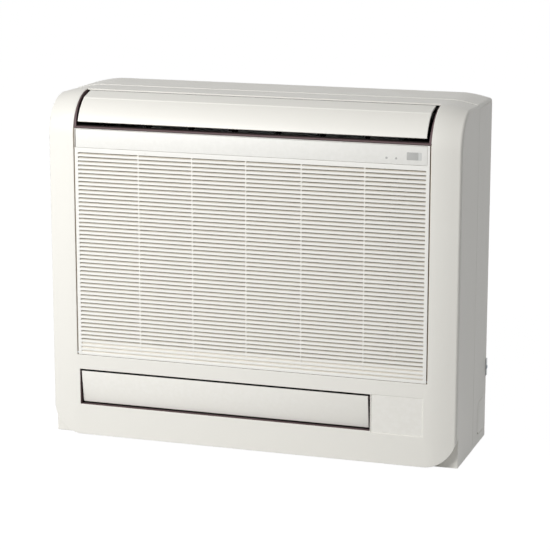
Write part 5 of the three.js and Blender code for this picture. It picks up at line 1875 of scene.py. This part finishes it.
@dataclass
class Studio:
    """Floor, lamps, surroundings and the camera."""

    focal: float = 135.44
    sensor: float = 36.0
    yaw: float = 0.3187
    pitch: float = 0.2165
    roll: float = 0.0010
    place: tuple[float, float, float] = (1098.8, -3295.8, 1049.0)
    far: float = 200.0
    ambient: float = 0.34
    ambient_left: float = 0.06
    ambient_edge: Span = (-0.95, -0.35)
    key: float = 42.0
    key_size: float = 1.1
    key_place: tuple[float, float, float] = (-1100.0, -1950.0, 1300.0)
    key_aim: tuple[float, float, float] = (0.0, 0.0, 300.0)
    floor_half: float = 60.0
    floor_grey: float = 0.55
    floor_white: float = 1.21
    floor_share: float = 0.8

    def build(self) -> None:
        """Sets everything up."""
        self.floor()
        self.surroundings()
        self.lamps()
        self.camera()

    def floor(self) -> None:
        """Pale floor that shows near white to the camera and keeps the unit's shadow."""
        bm = bmesh.new()
        bmesh.ops.create_grid(bm, x_segments=1, y_segments=1, size=self.floor_half)
        mesh = bpy.data.meshes.new("floor")
        bm.to_mesh(mesh)
        bm.free()
        floor = put("floor", mesh)
        material = bpy.data.materials.new("pale_floor")
        material.use_nodes = True
        material.node_tree.nodes.clear()
        wiring = Wiring(material.node_tree)
        grey = (self.floor_grey, self.floor_grey, self.floor_grey, 1.0)
        matt = wiring.add("ShaderNodeBsdfDiffuse", {"Color": grey})[0]
        white = {"Color": (1.0, 1.0, 1.0, 1.0), "Strength": self.floor_white}
        shine = wiring.add("ShaderNodeEmission", white)[0]
        share = wiring.times(wiring.seen(), self.floor_share)
        mixed = wiring.add("ShaderNodeMixShader", {0: share, 1: matt, 2: shine})[0]
        wiring.add("ShaderNodeOutputMaterial", {"Surface": mixed})
        floor.data.materials.append(material)

    def surroundings(self) -> None:
        """Even surroundings: white where they are seen, softer where they light the unit."""
        world = bpy.data.worlds.new("soft_room")
        bpy.context.scene.world = world
        world.use_nodes = True
        world.node_tree.nodes.clear()
        wiring = Wiring(world.node_tree)
        seen = wiring.seen()
        across = wiring.part(wiring.add("ShaderNodeTexCoord")["Generated"], Axis.X)
        soft = wiring.remap(across, self.ambient_edge, (self.ambient_left, self.ambient))
        lighting = wiring.times(wiring.maths("SUBTRACT", 1.0, seen), soft)
        light = {"Color": (1.0, 1.0, 1.0, 1.0), "Strength": wiring.plus(lighting, seen)}
        shown = wiring.add("ShaderNodeBackground", light)[0]
        wiring.add("ShaderNodeOutputWorld", {"Surface": shown})

    def lamps(self) -> None:
        """One large soft lamp before the unit, to the left and above."""
        lamp = bpy.data.lights.new("soft_box", "AREA")
        lamp.shape = "SQUARE"
        lamp.size = self.key_size
        lamp.energy = self.key
        made = put("soft_box", lamp)
        made.location = vector(*self.key_place)
        aim = vector(*self.key_aim) - made.location
        made.rotation_euler = aim.to_track_quat("-Z", "Y").to_euler()

    def camera(self) -> None:
        """Camera at the photograph's viewing angle."""
        data = bpy.data.cameras.new("camera")
        data.sensor_width = self.sensor
        data.lens = self.focal
        data.clip_end = self.far
        level = math.cos(self.pitch)
        ahead = Vector(
            (-math.sin(self.yaw) * level, math.cos(self.yaw) * level, -math.sin(self.pitch))
        )
        right = Vector((math.cos(self.yaw), math.sin(self.yaw), 0.0))
        up = right.cross(ahead)
        turned_right = math.cos(self.roll) * right + math.sin(self.roll) * up
        turned_up = -math.sin(self.roll) * right + math.cos(self.roll) * up
        turn = Matrix((turned_right, turned_up, -ahead)).transposed()
        made = put("camera", data)
        made.matrix_world = Matrix.Translation(vector(*self.place)) @ turn.to_4x4()
        bpy.context.scene.camera = made


def main() -> None:
    """Builds the sub-assemblies in order."""
    logging.basicConfig(level=logging.INFO, format="%(name)s: %(message)s")
    bpy.ops.wm.read_factory_settings(use_empty=True)
    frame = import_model()
    bpy.context.scene.view_settings.view_transform = "Standard"
    palette = Palette()
    for kind in (FrontCasing, RearCasing, IntakeGrille, UpperOutlet, LowerOutlet, Fasteners):
        part = kind(palette)
        part.build()
        LOG.info("%s: %d pieces", kind.__name__, part.count)
    works = InnerWorks(palette)
    works.build(frame["nodes"])
    LOG.info("InnerWorks: %d nodes dressed", works.count)
    Studio().build()


if __name__ == "__main__":
    main()
